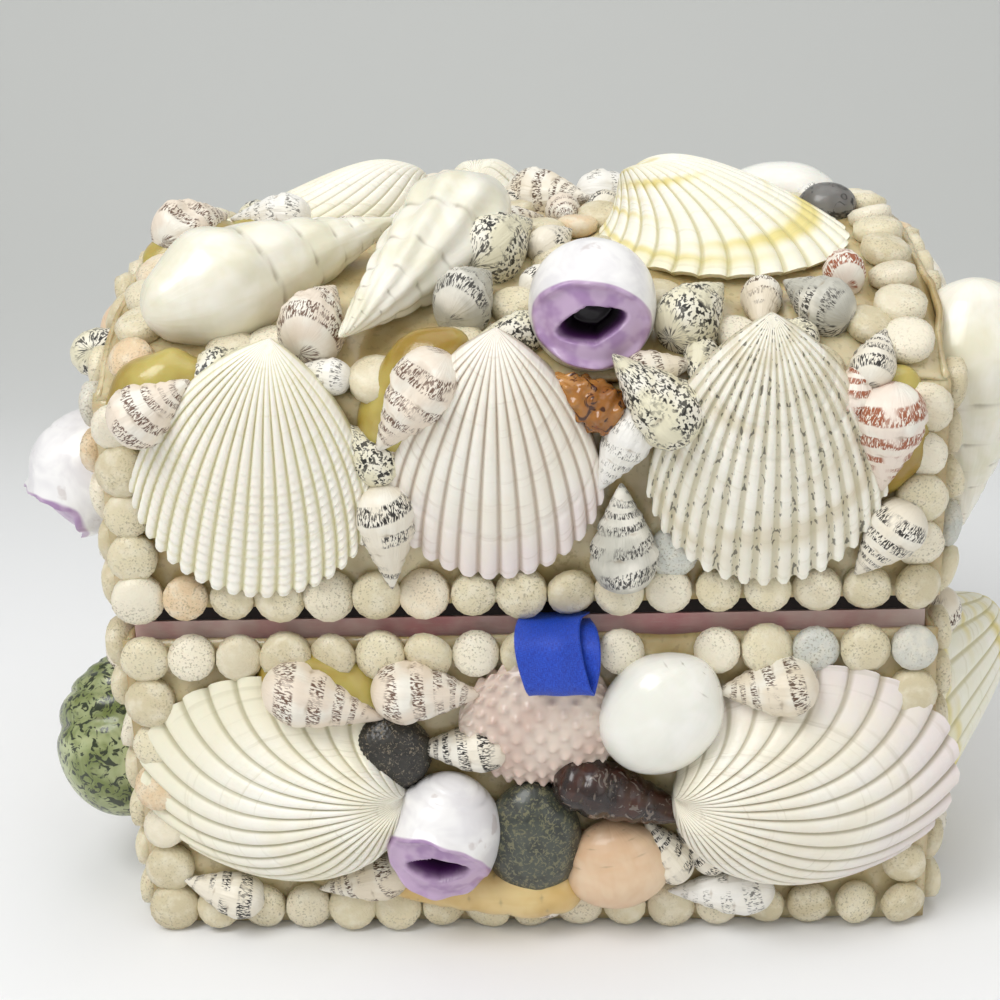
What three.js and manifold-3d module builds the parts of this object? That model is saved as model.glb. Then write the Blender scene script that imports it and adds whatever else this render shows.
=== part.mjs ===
// A casket covered in sea shells: an open box and a lift-off lid with a barrel top, both made of
// thin board. Every wall carries a bed of glue with rows of bead shells and small dog whelks, and
// the large shells sit on it one by one. A ribbon loop under the lid's rim lifts the lid.
// Millimetres, +Z up. The origin is the centre of the underside and the front faces -Y.
import * as THREE from 'three';
import { ConvexGeometry } from 'three/addons/geometries/ConvexGeometry.js';
import { ParametricGeometry } from 'three/addons/geometries/ParametricGeometry.js';
import { mergeGeometries, mergeVertices } from 'three/addons/utils/BufferGeometryUtils.js';
import Module from 'manifold-3d';

const wasm = await Module();
wasm.setup();

// Driving dimensions of the case.
const caseWidth = 150;
const caseDepth = 112;
const baseHeight = 66;
const board = 3;
const lidSpring = 111; // where the barrel top starts from the lid's front and back
const lidRise = 17;
const archSteps = 6; // facets in half of the barrel's arc

// The glue bed on each wall.
const gap = 0.3; // between pieces that touch
const bedTop = 2.2; // outer face, out from the board
const bedEdge = 0.2; // stops this far inside the edges of the sides and the top
const shellSeat = bedTop + gap;

// Bead shells, in rows round each wall.
const beadRadius = 4.6;
const beadPitch = 9.1;
const beadSides = 5;
const beadFoot = 1.6; // out from the board, within the glue
const beadTop = 6.6;
const cornerBeads = 72.5; // the columns' distance from the middle of the front and back
const sideBeads = 51;
const baseRows = [5.2, 60];
const lidRow = 72.4;
const leastBead = 0.6; // a bead with less of it clear of the large shells is left out
const archInset = 5; // from the barrel's edge to the beads on the end walls and on the top

const shellClearance = 0.6; // room that a shell's neighbours leave it, measured at its ends

const halfWidth = caseWidth / 2;
const halfDepth = caseDepth / 2;
const lidBottom = baseHeight + gap;
const archRadius = (halfDepth ** 2 + lidRise ** 2) / (2 * lidRise);
const archCentre = lidSpring + lidRise - archRadius;
const archHalf = archRadius * Math.asin(halfDepth / archRadius); // arc length, ridge to spring

const looks = {
  board: { color: 0xa98a86, roughness: 0.85 },
  ribbon: { color: 0x1238c8, roughness: 0.45 },
  glue: { color: 0xd8cfae, roughness: 0.5 },
  white: { color: 0xf0ece0, roughness: 0.5 },
  spotted: { color: 0xc9bda8, roughness: 0.5 },
  violet: { color: 0xb79ac6, roughness: 0.4 },
  green: { color: 0x8f9a62, roughness: 0.4 },
  dark: { color: 0x33312e, roughness: 0.4 },
  tan: { color: 0xd9b884, roughness: 0.45 },
  brown: { color: 0x8a4f1e, roughness: 0.25 },
};

// ------------------------------------------------------------------------------ solids

function solidOf(geometry) {
  const bare = geometry.clone();
  bare.deleteAttribute('normal');
  bare.deleteAttribute('uv');
  const merged = mergeVertices(bare, 1e-3);
  const corners = merged.index.array;
  const triangles = [];
  for (let i = 0; i < corners.length; i += 3) {
    const [a, b, c] = corners.slice(i, i + 3);
    if (a !== b && b !== c && a !== c) triangles.push(a, b, c);
  }
  return new wasm.Manifold(new wasm.Mesh({
    numProp: 3,
    vertProperties: merged.attributes.position.array,
    triVerts: new Uint32Array(triangles),
  }));
}

function pointsOf(solid) {
  const { numProp, numVert, vertProperties } = solid.getMesh();
  return Array.from({ length: numVert }, (_, i) =>
    new THREE.Vector3().fromArray(vertProperties, i * numProp));
}

function geometryOf(solid) {
  const geometry = new THREE.BufferGeometry().setFromPoints(pointsOf(solid));
  return geometry.setIndex(new THREE.BufferAttribute(new Uint32Array(solid.getMesh().triVerts), 1));
}

const moved = (solid, matrix) => solid.transform(matrix.elements);
const joined = (solids) => solids.reduce((all, next) => all.add(next));
const mainBody = (solid) => solid.decompose().sort((a, b) => b.volume() - a.volume())[0];

// The upright block of space over a shell's footprint, larger all round by the clearance: its
// neighbours are cut back to it.
function roomFor(solid) {
  const points = pointsOf(solid);
  const box = new THREE.Box3().setFromPoints(points);
  const centre = box.getCenter(new THREE.Vector3());
  const growth = box.max.clone().sub(centre).addScalar(shellClearance)
    .divide(box.max.clone().sub(centre));
  const corners = points.flatMap((point) => {
    const corner = point.clone().sub(centre).multiply(growth).add(centre);
    return [corner, corner.clone()];
  });
  corners.forEach((corner, i) => corner.setZ(i % 2 ? box.max.z + shellClearance : box.min.z));
  return solidOf(new ConvexGeometry(corners));
}

// ------------------------------------------------------------------------------ places
// Every wall has a frame with x to the right as seen from outside, y up and z outwards.

const axisX = new THREE.Vector3(1, 0, 0);
const axisY = new THREE.Vector3(0, 1, 0);
const axisZ = new THREE.Vector3(0, 0, 1);

const wallTurn = { front: 0, right: 90, back: 180, left: -90 };
const wallOut = { front: halfDepth, right: halfWidth, back: halfDepth, left: halfWidth };

function wallFrame(wall) {
  const turn = new THREE.Matrix4().makeRotationZ(THREE.MathUtils.degToRad(wallTurn[wall]));
  const upright = new THREE.Matrix4().makeBasis(axisX, axisZ, axisY.clone().negate());
  return turn.multiply(upright.setPosition(0, -wallOut[wall], 0));
}

// The barrel top's frame, where along is the arc length from the ridge, positive to the back.
function archFrame(along) {
  const turn = new THREE.Matrix4().makeRotationX(-along / archRadius);
  return new THREE.Matrix4().makeTranslation(0, 0, archCentre).multiply(turn)
    .multiply(new THREE.Matrix4().makeTranslation(0, 0, archRadius));
}

// A place on a wall, turned so that a shell's tip points turn degrees from the wall's x axis.
function placeOn(wall, [across, along], turn = 90, out = 0) {
  const spin = new THREE.Matrix4().makeRotationZ(THREE.MathUtils.degToRad(turn - 90));
  if (wall === 'top') {
    return archFrame(along).multiply(spin.setPosition(across, 0, out));
  }
  return wallFrame(wall).multiply(spin.setPosition(across, along, out));
}

// ------------------------------------------------------------------------------ case

function lidProfile(offset, bottom) {
  const reach = halfDepth + offset;
  const radius = archRadius + offset;
  const angle = Math.asin(reach / radius);
  return new THREE.Shape().moveTo(-reach, bottom).lineTo(reach, bottom)
    .absarc(0, archCentre, radius, Math.PI / 2 - angle, Math.PI / 2 + angle, false);
}

function alongX(shape, length, steps = archSteps) {
  const options = { depth: length, bevelEnabled: false, curveSegments: steps };
  return new THREE.ExtrudeGeometry(shape, options).translate(0, 0, -length / 2)
    .applyMatrix4(new THREE.Matrix4().makeBasis(axisY, axisZ, axisX));
}

function boxBetween(width, depth, bottom, top) {
  return new THREE.BoxGeometry(width, depth, top - bottom).translate(0, 0, (bottom + top) / 2);
}

function baseCase() {
  const outside = solidOf(boxBetween(caseWidth, caseDepth, 0, baseHeight));
  const inside = boxBetween(caseWidth - 2 * board, caseDepth - 2 * board, board, 2 * baseHeight);
  return outside.subtract(solidOf(inside));
}

function lidCase() {
  const outside = solidOf(alongX(lidProfile(0, lidBottom), caseWidth));
  const inside = alongX(lidProfile(-board, 0), caseWidth - 2 * board);
  return outside.subtract(solidOf(inside));
}

// The case filled in and grown outwards, which the shells are cut back to.
const baseBlock = (grow) => solidOf(boxBetween(caseWidth + 2 * grow, caseDepth + 2 * grow,
  -gap, baseHeight));
const lidBlock = (grow) => solidOf(alongX(lidProfile(grow, lidBottom), caseWidth + 2 * grow));

// ------------------------------------------------------------------------------ shells
// A shell's own frame has x across, y to its tip and z outwards, with z 0 on what it sits on.

// Coiled shells: distance along the axis and radius, as shares of the length and of half the
// width, from the end with the mouth to the tip.
const coilForms = {
  nassa: [[0, 0], [0.08, 0.6], [0.38, 1], [1, 0]],
  auger: [[0, 0], [0.06, 0.6], [0.2, 1], [0.42, 0.8], [0.44, 0.7], [0.7, 0.45], [1, 0]],
  turret: [[0, 0], [0.06, 0.75], [0.22, 1], [0.5, 0.82], [0.78, 0.5], [1, 0]],
  moon: [[0, 0], [0.12, 0.66], [0.42, 1], [0.74, 0.76], [0.93, 0.26], [1, 0]],
  globe: [[0, 0], [0.15, 0.72], [0.5, 1], [0.85, 0.72], [1, 0]],
};

const coilSink = 0.2; // share of its height that a coiled shell sinks in the glue

function coiled(form, { length, width, height: flat = width, rise = 0, sides = 7 }) {
  const height = flat + rise;
  const outline = coilForms[form].map(([along, radius]) =>
    new THREE.Vector2(radius * (width / 2), (along - 0.5) * length));
  const lathe = new THREE.LatheGeometry(outline, sides, Math.PI / sides);
  lathe.scale(1, 1, height / width).translate(0, 0, height * (0.5 - coilSink));
  return solidOf(lathe);
}

// A violet snail is a globe with a wide mouth low on its outer side. The mouth dips from straight
// out towards the end opposite the tip.
function violetSnail(size) {
  const { length, width, dip = 30 } = size;
  const height = size.height + (size.rise ?? 0);
  const angle = THREE.MathUtils.degToRad(dip);
  const mouth = new THREE.SphereGeometry(1, 8, 6)
    .scale(0.38 * width, 0.3 * length, 0.34 * height)
    .translate(0, 0, 0.42 * height)
    .rotateX(angle)
    .translate(0, -0.04 * length, 0.3 * height);
  return coiled('globe', { sides: 9, ...size }).subtract(solidOf(mouth));
}

// A ribbed valve fans out from its beak at +y to its margin, and its underside is closed flat.
// Splay opens the fan near the beak, so that the flanks are rounded.
const valveForms = {
  scallop: { spread: 36, splay: 0.8, reach: (turn) => 1 - 0.24 * turn ** 2, crown: 0.62 },
  ark: {
    spread: 84,
    splay: 0,
    reach: (turn, slim) => {
      const angle = THREE.MathUtils.degToRad(84 * turn);
      return (slim ** 2 * Math.cos(angle))
        / (slim ** 2 * Math.cos(angle) ** 2 + Math.sin(angle) ** 2);
    },
    crown: 0.5,
  },
};

function valve(form, { length, width, height, ribs, rings = 3, curl = 0 }) {
  const { spread, splay, reach, crown } = valveForms[form];
  const ribHeight = 0.45;
  const rim = 0.5;
  const rays = 2 * ribs;
  const slim = width / length;
  const turnOf = (u) => THREE.MathUtils.degToRad(spread * (2 * u - 1));
  const widest = Math.max(...Array.from({ length: rays + 1 }, (_, i) =>
    reach(2 * (i / rays) - 1, slim) * Math.sin(turnOf(i / rays))));
  const place = (u, v, point) => {
    const out = reach(2 * u - 1, slim) * length * v;
    const bend = THREE.MathUtils.degToRad(curl) * v * (1 - v);
    const angle = turnOf(u) * (1 + splay * (1 - v)) + bend;
    point.set((out * Math.sin(angle) * slim) / (2 * widest), length / 2 - out * Math.cos(angle), rim);
  };
  const dome = (u, v, point) => {
    place(1 - u, v, point);
    const across = Math.sqrt(Math.max(1 - (2 * u - 1) ** 2, 0)) ** 0.8;
    const rise = height * (across * Math.sin(Math.PI * v ** crown) + 0.35 * (1 - v));
    const ridge = (Math.round(u * rays) % 2 ? ribHeight : -ribHeight) * v;
    if (v < 1e-6) point.z += 0.35 * height;
    else if (v < 1 - 1e-6 && u > 1e-6 && u < 1 - 1e-6) point.z += rise + ridge;
  };
  // The underside closes the outline, up one flank, round the margin and down the other.
  const border = 2 * rings + rays;
  const underside = (u, v, point) => {
    const step = Math.round(u * border);
    if (v > 0.5) point.set(0, 0, -2);
    else if (step < rings) dome(0, step / rings, point);
    else if (step > rings + rays) dome(1, (border - step) / rings, point);
    else dome((step - rings) / rays, 1, point);
  };
  return solidOf(mergeGeometries([
    new ParametricGeometry(dome, rays, rings),
    new ParametricGeometry(underside, border, 1),
  ]));
}

const makers = {
  nassa: (size) => coiled('nassa', { sides: 5, ...size }),
  auger: (size) => coiled('auger', { sides: 8, ...size }),
  turret: (size) => coiled('turret', size),
  moon: (size) => coiled('moon', { sides: 8, ...size }),
  globe: (size) => coiled('globe', { sides: 8, ...size }),
  violet: violetSnail,
  scallop: (size) => valve('scallop', { height: 9, ribs: 8, ...size }),
  ark: (size) => valve('ark', { height: 12, ribs: 8, ...size }),
};
const plain = { ribs: 5, rings: 2 }; // the valves of the sides and the back

const usualLooks = {
  nassa: 'spotted',
  auger: 'white',
  violet: 'violet',
  scallop: 'white',
  ark: 'white',
};

// A bead shell is a low cone, like a button top.
function beadShell() {
  return solidOf(new THREE.ConeGeometry(beadRadius, beadTop - beadFoot, beadSides)
    .rotateX(Math.PI / 2).translate(0, 0, (beadTop + beadFoot) / 2));
}

// ------------------------------------------------------------------------------ layout
// Each shell's name, kind, place on its wall in millimetres, direction of its tip in degrees,
// length and width. A shell without a name is part of its wall's shellwork. A shell that lies on
// its neighbours comes before them.

const baseShells = {
  front: [
    ['violet_snail_low', 'violet', [-16.5, 24.5], 75, 25, 22, { height: 19, rise: 2 }],
    ['moon_snail_white', 'globe', [25.6, 49], 50, 26, 22, { height: 17, look: 'white' }],
    ['cerith_dark', 'turret', [18, 31], -21, 28, 12, { rise: 2, look: 'dark' }],
    ['nerite_dark', 'globe', [0.5, 21.5], 90, 25, 19, { height: 13, look: 'dark' }],
    ['', 'nassa', [-38.3, 52.3], -20, 24, 12, { rise: 3 }],
    ['', 'nassa', [-18.7, 53.5], -4, 21, 12, { rise: 2 }],
    ['', 'nassa', [45.3, 53.5], -176, 19, 11, { rise: 3 }],
    ['', 'nassa', [-12.6, 41.2], 179, 19, 9, { rise: 2 }],
    ['', 'nassa', [26, 18.5], 120, 15, 8.5, { rise: 2 }],
    ['ark_left', 'ark', [-49.5, 35], -4, 52, 43, {}],
    ['ark_right', 'ark', [54.5, 34.6], -176, 54, 45, { height: 13 }],
    ['whelk_pimpled', 'globe', [3, 46], 0, 32, 25, { height: 9, look: 'white' }],
    ['top_shell_dark', 'globe', [-26.5, 40.5], 90, 16, 16, { height: 11, look: 'dark' }],
    ['bonnet_snail_peach', 'moon', [16.6, 16.2], 100, 19, 21, { height: 14, look: 'tan' }],
    ['turret_tan', 'turret', [-9.8, 10.4], 180, 40, 12, { look: 'tan' }],
    ['', 'nassa', [-61.8, 9.6], 161, 17, 9, { rise: 1 }],
    ['', 'nassa', [-33.3, 11.8], -168, 19, 9, { rise: 1 }],
    ['', 'nassa', [5, 8], 29, 13, 7, { rise: 1 }],
    ['', 'nassa', [37, 9], 180, 21, 9.3, { rise: 1 }],
  ],
  right: [
    ['', 'nassa', [-42, 62 - 5], -70, 17, 9, {}],
    ['ark_right_side', 'ark', [-30, 34], 55, 46, 40, { ...plain, height: 17 }],
    ['ark_right_back', 'ark', [22, 36], -176, 44, 36, plain],
    ['', 'nassa', [-40, 11], 180, 18, 10, {}],
    ['', 'nassa', [-2, 12], 20, 18, 9, {}],
    ['', 'nassa', [30, 11], 170, 18, 9, {}],
    ['', 'nassa', [2, 54], -10, 19, 10, {}],
  ],
  back: [
    ['', 'nassa', [0, 51], 10, 21, 11, {}],
    ['', 'nassa', [0, 14], 175, 21, 11, {}],
    ['', 'nassa', [-28, 12], 20, 18, 9, {}],
    ['', 'nassa', [29, 11], 165, 18, 9, {}],
    ['ark_back_left', 'ark', [-42, 34], -4, 50, 42, plain],
    ['ark_back_right', 'ark', [42, 34], -176, 50, 42, plain],
    ['moon_snail_back', 'globe', [0, 32], 80, 24, 21, { height: 15, look: 'white' }],
  ],
  left: [
    ['turban_green', 'globe', [34, 31], 120, 35, 31, { height: 29, sides: 9, look: 'green' }],
    ['', 'nassa', [42, 54], 200, 17, 9, {}],
    ['', 'nassa', [18, 53], 10, 19, 10, {}],
    ['ark_left_side', 'ark', [-14, 33], 170, 46, 38, plain],
    ['', 'nassa', [38, 10.5], 10, 18, 9, {}],
    ['', 'nassa', [8, 11], 190, 18, 9, {}],
    ['', 'nassa', [-34, 12], 160, 18, 9, {}],
    ['', 'nassa', [-40, 45], 100, 18, 9, {}],
  ],
};

const lidShells = {
  front: [
    ['', 'nassa', [-18, 110.5], -128, 22.4, 12.5, { rise: 5 }],
    ['', 'nassa', [24.4, 110.5], 131, 21, 12.5, { rise: 4 }],
    ['', 'nassa', [-24, 85], -89, 21, 11, { rise: 2 }],
    ['', 'nassa', [18.9, 84], 91, 21, 12.5, { rise: 2 }],
    ['', 'nassa', [18.8, 100.5], -119, 18, 9.5, { rise: 2 }],
    ['', 'nassa', [65.6, 102], -95, 20, 12.5, { rise: 3 }],
    ['', 'nassa', [66, 82.4], -129, 17, 10.4, { rise: 3 }],
    ['', 'nassa', [-64.5, 111], 33, 17, 12, { rise: 4 }],
    ['', 'nassa', [60, 111], 80, 12, 7.5, { rise: 2 }],
    ['', 'nassa', [-27, 101], 129, 15, 9, {}],
    ['shell_brown', 'turret', [12.8, 110], 145, 15, 9, { rise: 1, look: 'brown' }],
    ['scallop_left', 'scallop', [-47.3, 98.5], 79, 49, 45, {}],
    ['scallop_middle', 'scallop', [-4.3, 100], 86, 47, 41, {}],
    ['scallop_right', 'scallop', [44.7, 99.8], 89, 50, 43, {}],
  ],
  top: [
    ['violet_snail_high', 'violet', [14.2, -49], 89, 26, 23, { height: 21, rise: 2, dip: 62 }],
    ['', 'nassa', [-36, -48.5], 75, 19, 12, { rise: 4 }],
    ['', 'nassa', [-8.3, -43], 63, 16, 11, { rise: 4 }],
    ['', 'nassa', [-2.8, -25.5], 62, 23, 12, { rise: 3 }],
    ['', 'nassa', [33, -48.5], 55, 18, 12, { rise: 2 }],
    ['', 'nassa', [54.5, -46], 131, 16, 10, { rise: 2 }],
    ['', 'nassa', [60.7, -36], 87, 12, 8, { rise: 2 }],
    ['', 'nassa', [5.4, 12], -41, 23, 11, { rise: 2 }],
    ['', 'nassa', [-21, 14], -156, 24, 10, { rise: 3 }],
    ['', 'nassa', [20, 17], -1, 19, 10, { rise: 2 }],
    ['', 'nassa', [-66, -12], 60, 20, 12, { rise: 2 }],
    ['', 'nassa', [-52, -4], 170, 18, 9, { rise: 2 }],
    ['auger_long', 'auger', [-45.6, -34], 37, 55, 23, { sunk: 1 }],
    ['auger_short', 'auger', [-18, -33], -116, 58, 22, { sunk: 1 }],
    ['top_shell_grey', 'globe', [62, -4], 170, 12, 10, { height: 9, look: 'dark' }],
    ['ark_top_right', 'ark', [40, -15], 140, 50, 46, { sunk: 2 }],
    ['ark_top_left', 'ark', [-43, 12], 5, 46, 40, { sunk: 2 }],
    ['egg_shell_white', 'globe', [55, 22], -10, 26, 20, { height: 14, look: 'white', sunk: 1 }],
    ['ark_top_back', 'ark', [-8, 38], -100, 38, 34, { ...plain, sunk: 2 }],
    ['', 'nassa', [-46, 43], 30, 20, 11, {}],
    ['', 'nassa', [26, 42], 150, 20, 11, {}],
    ['', 'nassa', [52, 44], 60, 18, 10, {}],
  ],
  right: [
    ['auger_right_side', 'auger', [-35, 99], -88, 50, 24, { height: 27 }],
    ['scallop_right_side', 'scallop', [2, 100], 90, 46, 42, plain],
    ['moon_snail_right', 'globe', [35, 90], 60, 24, 21, { height: 15, look: 'white' }],
    ['', 'nassa', [36, 108], 120, 17, 9, {}],
    ['', 'nassa', [-18, 80], 10, 17, 9, {}],
  ],
  back: [
    ['', 'nassa', [-24, 87], -90, 21, 11, {}],
    ['', 'nassa', [24, 87], -90, 21, 11, {}],
    ['', 'nassa', [-24, 108], 120, 18, 10, { rise: 1 }],
    ['', 'nassa', [24, 108], 60, 18, 10, { rise: 1 }],
    ['scallop_back_left', 'scallop', [-47, 98], 90, 46, 43, plain],
    ['scallop_back_middle', 'scallop', [0, 98], 90, 46, 43, plain],
    ['scallop_back_right', 'scallop', [47, 98], 90, 46, 43, plain],
  ],
  left: [
    ['violet_snail_left', 'violet', [38, 91], 100, 25, 23, { height: 25 }],
    ['', 'nassa', [33, 113], 200, 18, 10, { rise: 2 }],
    ['moon_snail_peach', 'globe', [20, 114], 60, 15, 13, { height: 10, look: 'tan' }],
    ['scallop_left_side', 'scallop', [-2, 97], 90, 46, 42, plain],
    ['', 'nassa', [44, 77], 10, 17, 9, {}],
    ['', 'nassa', [-35, 84], 100, 18, 9, {}],
    ['', 'nassa', [-32, 104], 60, 18, 9, {}],
  ],
};

// ------------------------------------------------------------------------------ shellwork

// Evenly spaced places from one end to the other, about a bead's pitch apart.
function steps(from, to) {
  const count = Math.round(Math.abs(to - from) / beadPitch);
  return Array.from({ length: count + 1 }, (_, i) => from + ((to - from) * i) / count);
}

function borderPlaces(part, wall) {
  const side = wallOut[wall] === halfDepth ? cornerBeads : sideBeads;
  if (wall === 'top') {
    const end = archHalf - archInset;
    const edge = halfWidth - archInset;
    return steps(-end, end).flatMap((along) => [[-edge, along], [edge, along]]);
  }
  const columns = (low, high) => steps(low, high).slice(1).flatMap((up) =>
    [[-side, up], [side, up]]);
  if (part === 'base') {
    const [low, high] = baseRows;
    const rows = baseRows.flatMap((up) => steps(-side, side).map((across) => [across, up]));
    return [...rows, ...columns(low, high).slice(0, -2)];
  }
  const row = steps(-side, side).map((across) => [across, lidRow]);
  if (wall === 'front' || wall === 'back') {
    return [...row, ...columns(lidRow, lidSpring - beadRadius)];
  }
  const radius = archRadius - archInset;
  const span = Math.asin(side / radius) * radius;
  const arch = steps(-span, span).map((along) =>
    [radius * Math.sin(along / radius), archCentre + radius * Math.cos(along / radius)]);
  return [...row, ...columns(lidRow, arch[0][1]).slice(0, -2), ...arch];
}

function glueBed(part, wall, grow = 0) {
  const options = { depth: bedTop - gap + 2 * grow, bevelEnabled: false, curveSegments: archSteps };
  if (wall === 'top') {
    const angle = (archHalf - bedEdge + grow) / archRadius;
    const up = Math.PI / 2;
    const band = new THREE.Shape()
      .absarc(0, archCentre, archRadius + bedTop + grow, up - angle, up + angle, false)
      .absarc(0, archCentre, archRadius + gap - grow, up + angle, up - angle, true);
    return solidOf(alongX(band, caseWidth - 2 * bedEdge + 2 * grow));
  }
  const reach = grow + (wallOut[wall] === halfDepth ? halfWidth + bedTop : halfDepth - bedEdge);
  const [low, high] = part === 'base'
    ? [gap, baseRows[1] + beadRadius + gap]
    : [lidRow - beadRadius - gap, lidSpring - bedEdge];
  const outline = new THREE.Shape().moveTo(-reach, low).lineTo(reach, low)
    .lineTo(reach, high).lineTo(-reach, high);
  const arched = part === 'lid' && (wall === 'left' || wall === 'right');
  const flat = new THREE.ExtrudeGeometry(arched ? lidProfile(-bedEdge, low) : outline, options);
  return solidOf(flat.translate(0, 0, gap - grow).applyMatrix4(wallFrame(wall)));
}

const shellworkOf = (part, wall) => `${part}_${wall}_shellwork`;

function placedShells(part, walls) {
  return Object.entries(walls).flatMap(([wall, list]) =>
    list.map(([name, make, at, turn, length, width, more]) => {
      const shell = makers[make]({ length, width, ...more });
      const place = placeOn(wall, at, turn, shellSeat - (more.sunk ?? 0));
      return {
        node: name || shellworkOf(part, wall),
        look: more.look ?? usualLooks[make],
        solid: moved(shell, place),
        room: moved(roomFor(shell), place),
      };
    }));
}

function placedBeads(part, wall) {
  const node = shellworkOf(part, wall);
  return borderPlaces(part, wall).map((at) =>
    ({ node, solid: moved(beadShell(), placeOn(wall, at)) }));
}

// Cuts a solid back to each room that it reaches, unless the room is its own node's.
function fitted(solid, node, rooms) {
  const box = boxOf(solid);
  return rooms.filter((other) => other.node !== node && boxOf(other.room).intersectsBox(box))
    .reduce((rest, other) => rest.subtract(other.room), solid);
}

// The shells of the base or of the lid. A large shell sits on the core, which is the case with its
// glue beds, and a small one or a bead is joined to its wall's bed, down to the bare case.
function shellwork(part, walls, core, bareCase) {
  const names = Object.keys(walls);
  const shells = placedShells(part, walls);
  const beds = names.map((wall) =>
    ({ node: shellworkOf(part, wall), room: glueBed(part, wall, gap) }));
  const joinedTo = new Map(names.map((wall) =>
    [shellworkOf(part, wall), [glueBed(part, wall)]]));
  const large = [];
  shells.forEach(({ node, look, solid }, i) => {
    const earlier = shells.slice(0, i);
    const bed = joinedTo.get(node);
    if (bed) bed.push(fitted(solid.subtract(bareCase), node, [...beds, ...earlier]));
    else large.push({ node, look, solid: mainBody(fitted(solid.subtract(core), node, earlier)) });
  });
  names.flatMap((wall) => placedBeads(part, wall)).forEach(({ node, solid }) => {
    const bead = fitted(solid, node, shells);
    if (bead.volume() > leastBead * solid.volume()) joinedTo.get(node).push(bead);
  });
  const walled = [...joinedTo].map(([node, solids]) =>
    ({ node, look: 'glue', solid: mainBody(joined(solids)) }));
  return [...walled, ...large];
}

function boxOf(solid) {
  const { min, max } = solid.boundingBox();
  return new THREE.Box3(new THREE.Vector3(...min), new THREE.Vector3(...max));
}

// ------------------------------------------------------------------------------ ribbon

// A satin loop: out from under the lid's rim, down in front of the beads and back up.
function ribbonLoop() {
  const width = 12;
  const thickness = 0.8;
  const middle = 6.5;
  const path = [[-56.8, 66.9], [-63, 67], [-67.6, 65], [-69, 60], [-68.6, 56], [-67.6, 55],
    [-66.6, 56], [-66.2, 60], [-64.8, 63.8], [-62, 65.4], [-56.8, 65.4]];
  const points = path.map(([y, z]) => new THREE.Vector2(y, z));
  const sideways = points.map((_, i) => {
    const ahead = points[Math.min(i + 1, points.length - 1)].clone();
    const way = ahead.sub(points[Math.max(i - 1, 0)]).normalize();
    return new THREE.Vector2(-way.y, way.x).multiplyScalar(thickness / 2);
  });
  const one = points.map((point, i) => point.clone().add(sideways[i]));
  const other = points.map((point, i) => point.clone().sub(sideways[i])).reverse();
  return solidOf(alongX(new THREE.Shape([...one, ...other]), width).translate(middle, 0, 0));
}

// ------------------------------------------------------------------------------ object

const nodes = [
  { node: 'base_box', look: 'board', solid: baseCase() },
  { node: 'lid_box', look: 'board', solid: lidCase() },
  { node: 'ribbon_loop', look: 'ribbon', solid: ribbonLoop() },
  ...shellwork('base', baseShells, baseBlock(shellSeat), baseBlock(gap)),
  ...shellwork('lid', lidShells, lidBlock(shellSeat), lidBlock(gap)),
];

const casket = new THREE.Group();
nodes.forEach(({ node, look, solid }) => {
  const mesh = new THREE.Mesh(geometryOf(solid), new THREE.MeshStandardMaterial(looks[look]));
  mesh.name = node;
  casket.add(mesh);
});

export default casket;
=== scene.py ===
import math
import random

import bpy
import numpy as np
from mathutils import Matrix, Vector


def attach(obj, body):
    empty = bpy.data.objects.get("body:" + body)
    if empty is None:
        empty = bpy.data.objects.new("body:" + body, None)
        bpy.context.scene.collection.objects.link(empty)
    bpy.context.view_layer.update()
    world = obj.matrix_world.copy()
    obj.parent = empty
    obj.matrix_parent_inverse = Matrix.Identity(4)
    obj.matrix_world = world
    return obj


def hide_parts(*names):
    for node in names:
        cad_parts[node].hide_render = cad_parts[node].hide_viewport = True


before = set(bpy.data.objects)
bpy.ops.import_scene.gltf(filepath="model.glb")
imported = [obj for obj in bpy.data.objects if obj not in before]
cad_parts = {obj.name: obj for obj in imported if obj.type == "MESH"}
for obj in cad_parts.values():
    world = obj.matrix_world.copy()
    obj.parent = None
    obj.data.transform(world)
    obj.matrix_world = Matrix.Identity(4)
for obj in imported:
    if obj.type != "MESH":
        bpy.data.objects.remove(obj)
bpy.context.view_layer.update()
chance = random.Random(7)
print("loaded", len(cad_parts), "CAD nodes")

# Sizes are millimetres, and toMetres brings a shaped piece into the frame.
toMetres = Matrix.Scale(0.001, 4)

case = {
    "width": 150, "depth": 112, "baseHeight": 66, "gap": 0.3,
    "lidSpring": 111, "lidRise": 17,  # the barrel top starts at lidSpring
    "bedTop": 2.2, "bedEdge": 0.2,  # the glue on the walls
}
halfWidth = case["width"] / 2
halfDepth = case["depth"] / 2
shellSeat = case["bedTop"] + case["gap"]
archRadius = (halfDepth ** 2 + case["lidRise"] ** 2) / (2 * case["lidRise"])
archCentre = case["lidSpring"] + case["lidRise"] - archRadius
archHalf = archRadius * math.asin(halfDepth / archRadius)  # arc length from the ridge


# Every wall has x to the right as seen from outside, y up and z outwards.

wallTurn = {"front": 0, "right": 90, "back": 180, "left": -90}
wallOut = {"front": halfDepth, "right": halfWidth, "back": halfDepth, "left": halfWidth}


def wallMatrix(wall):
    upright = Matrix(((1, 0, 0, 0), (0, 0, -1, -wallOut[wall]), (0, 1, 0, 0), (0, 0, 0, 1)))
    return Matrix.Rotation(math.radians(wallTurn[wall]), 4, "Z") @ upright


def archMatrix(along):
    turn = Matrix.Rotation(-along / archRadius, 4, "X")
    return Matrix.Translation((0, 0, archCentre)) @ turn @ Matrix.Translation((0, 0, archRadius))


def placeOn(wall, spot, turn=90, out=0):
    across, along = spot
    spin = Matrix.Rotation(math.radians(turn - 90), 4, "Z")
    if wall == "top":
        return archMatrix(along) @ Matrix.Translation((across, 0, out)) @ spin
    return wallMatrix(wall) @ Matrix.Translation((across, along, out)) @ spin


# Mesh helpers

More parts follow.
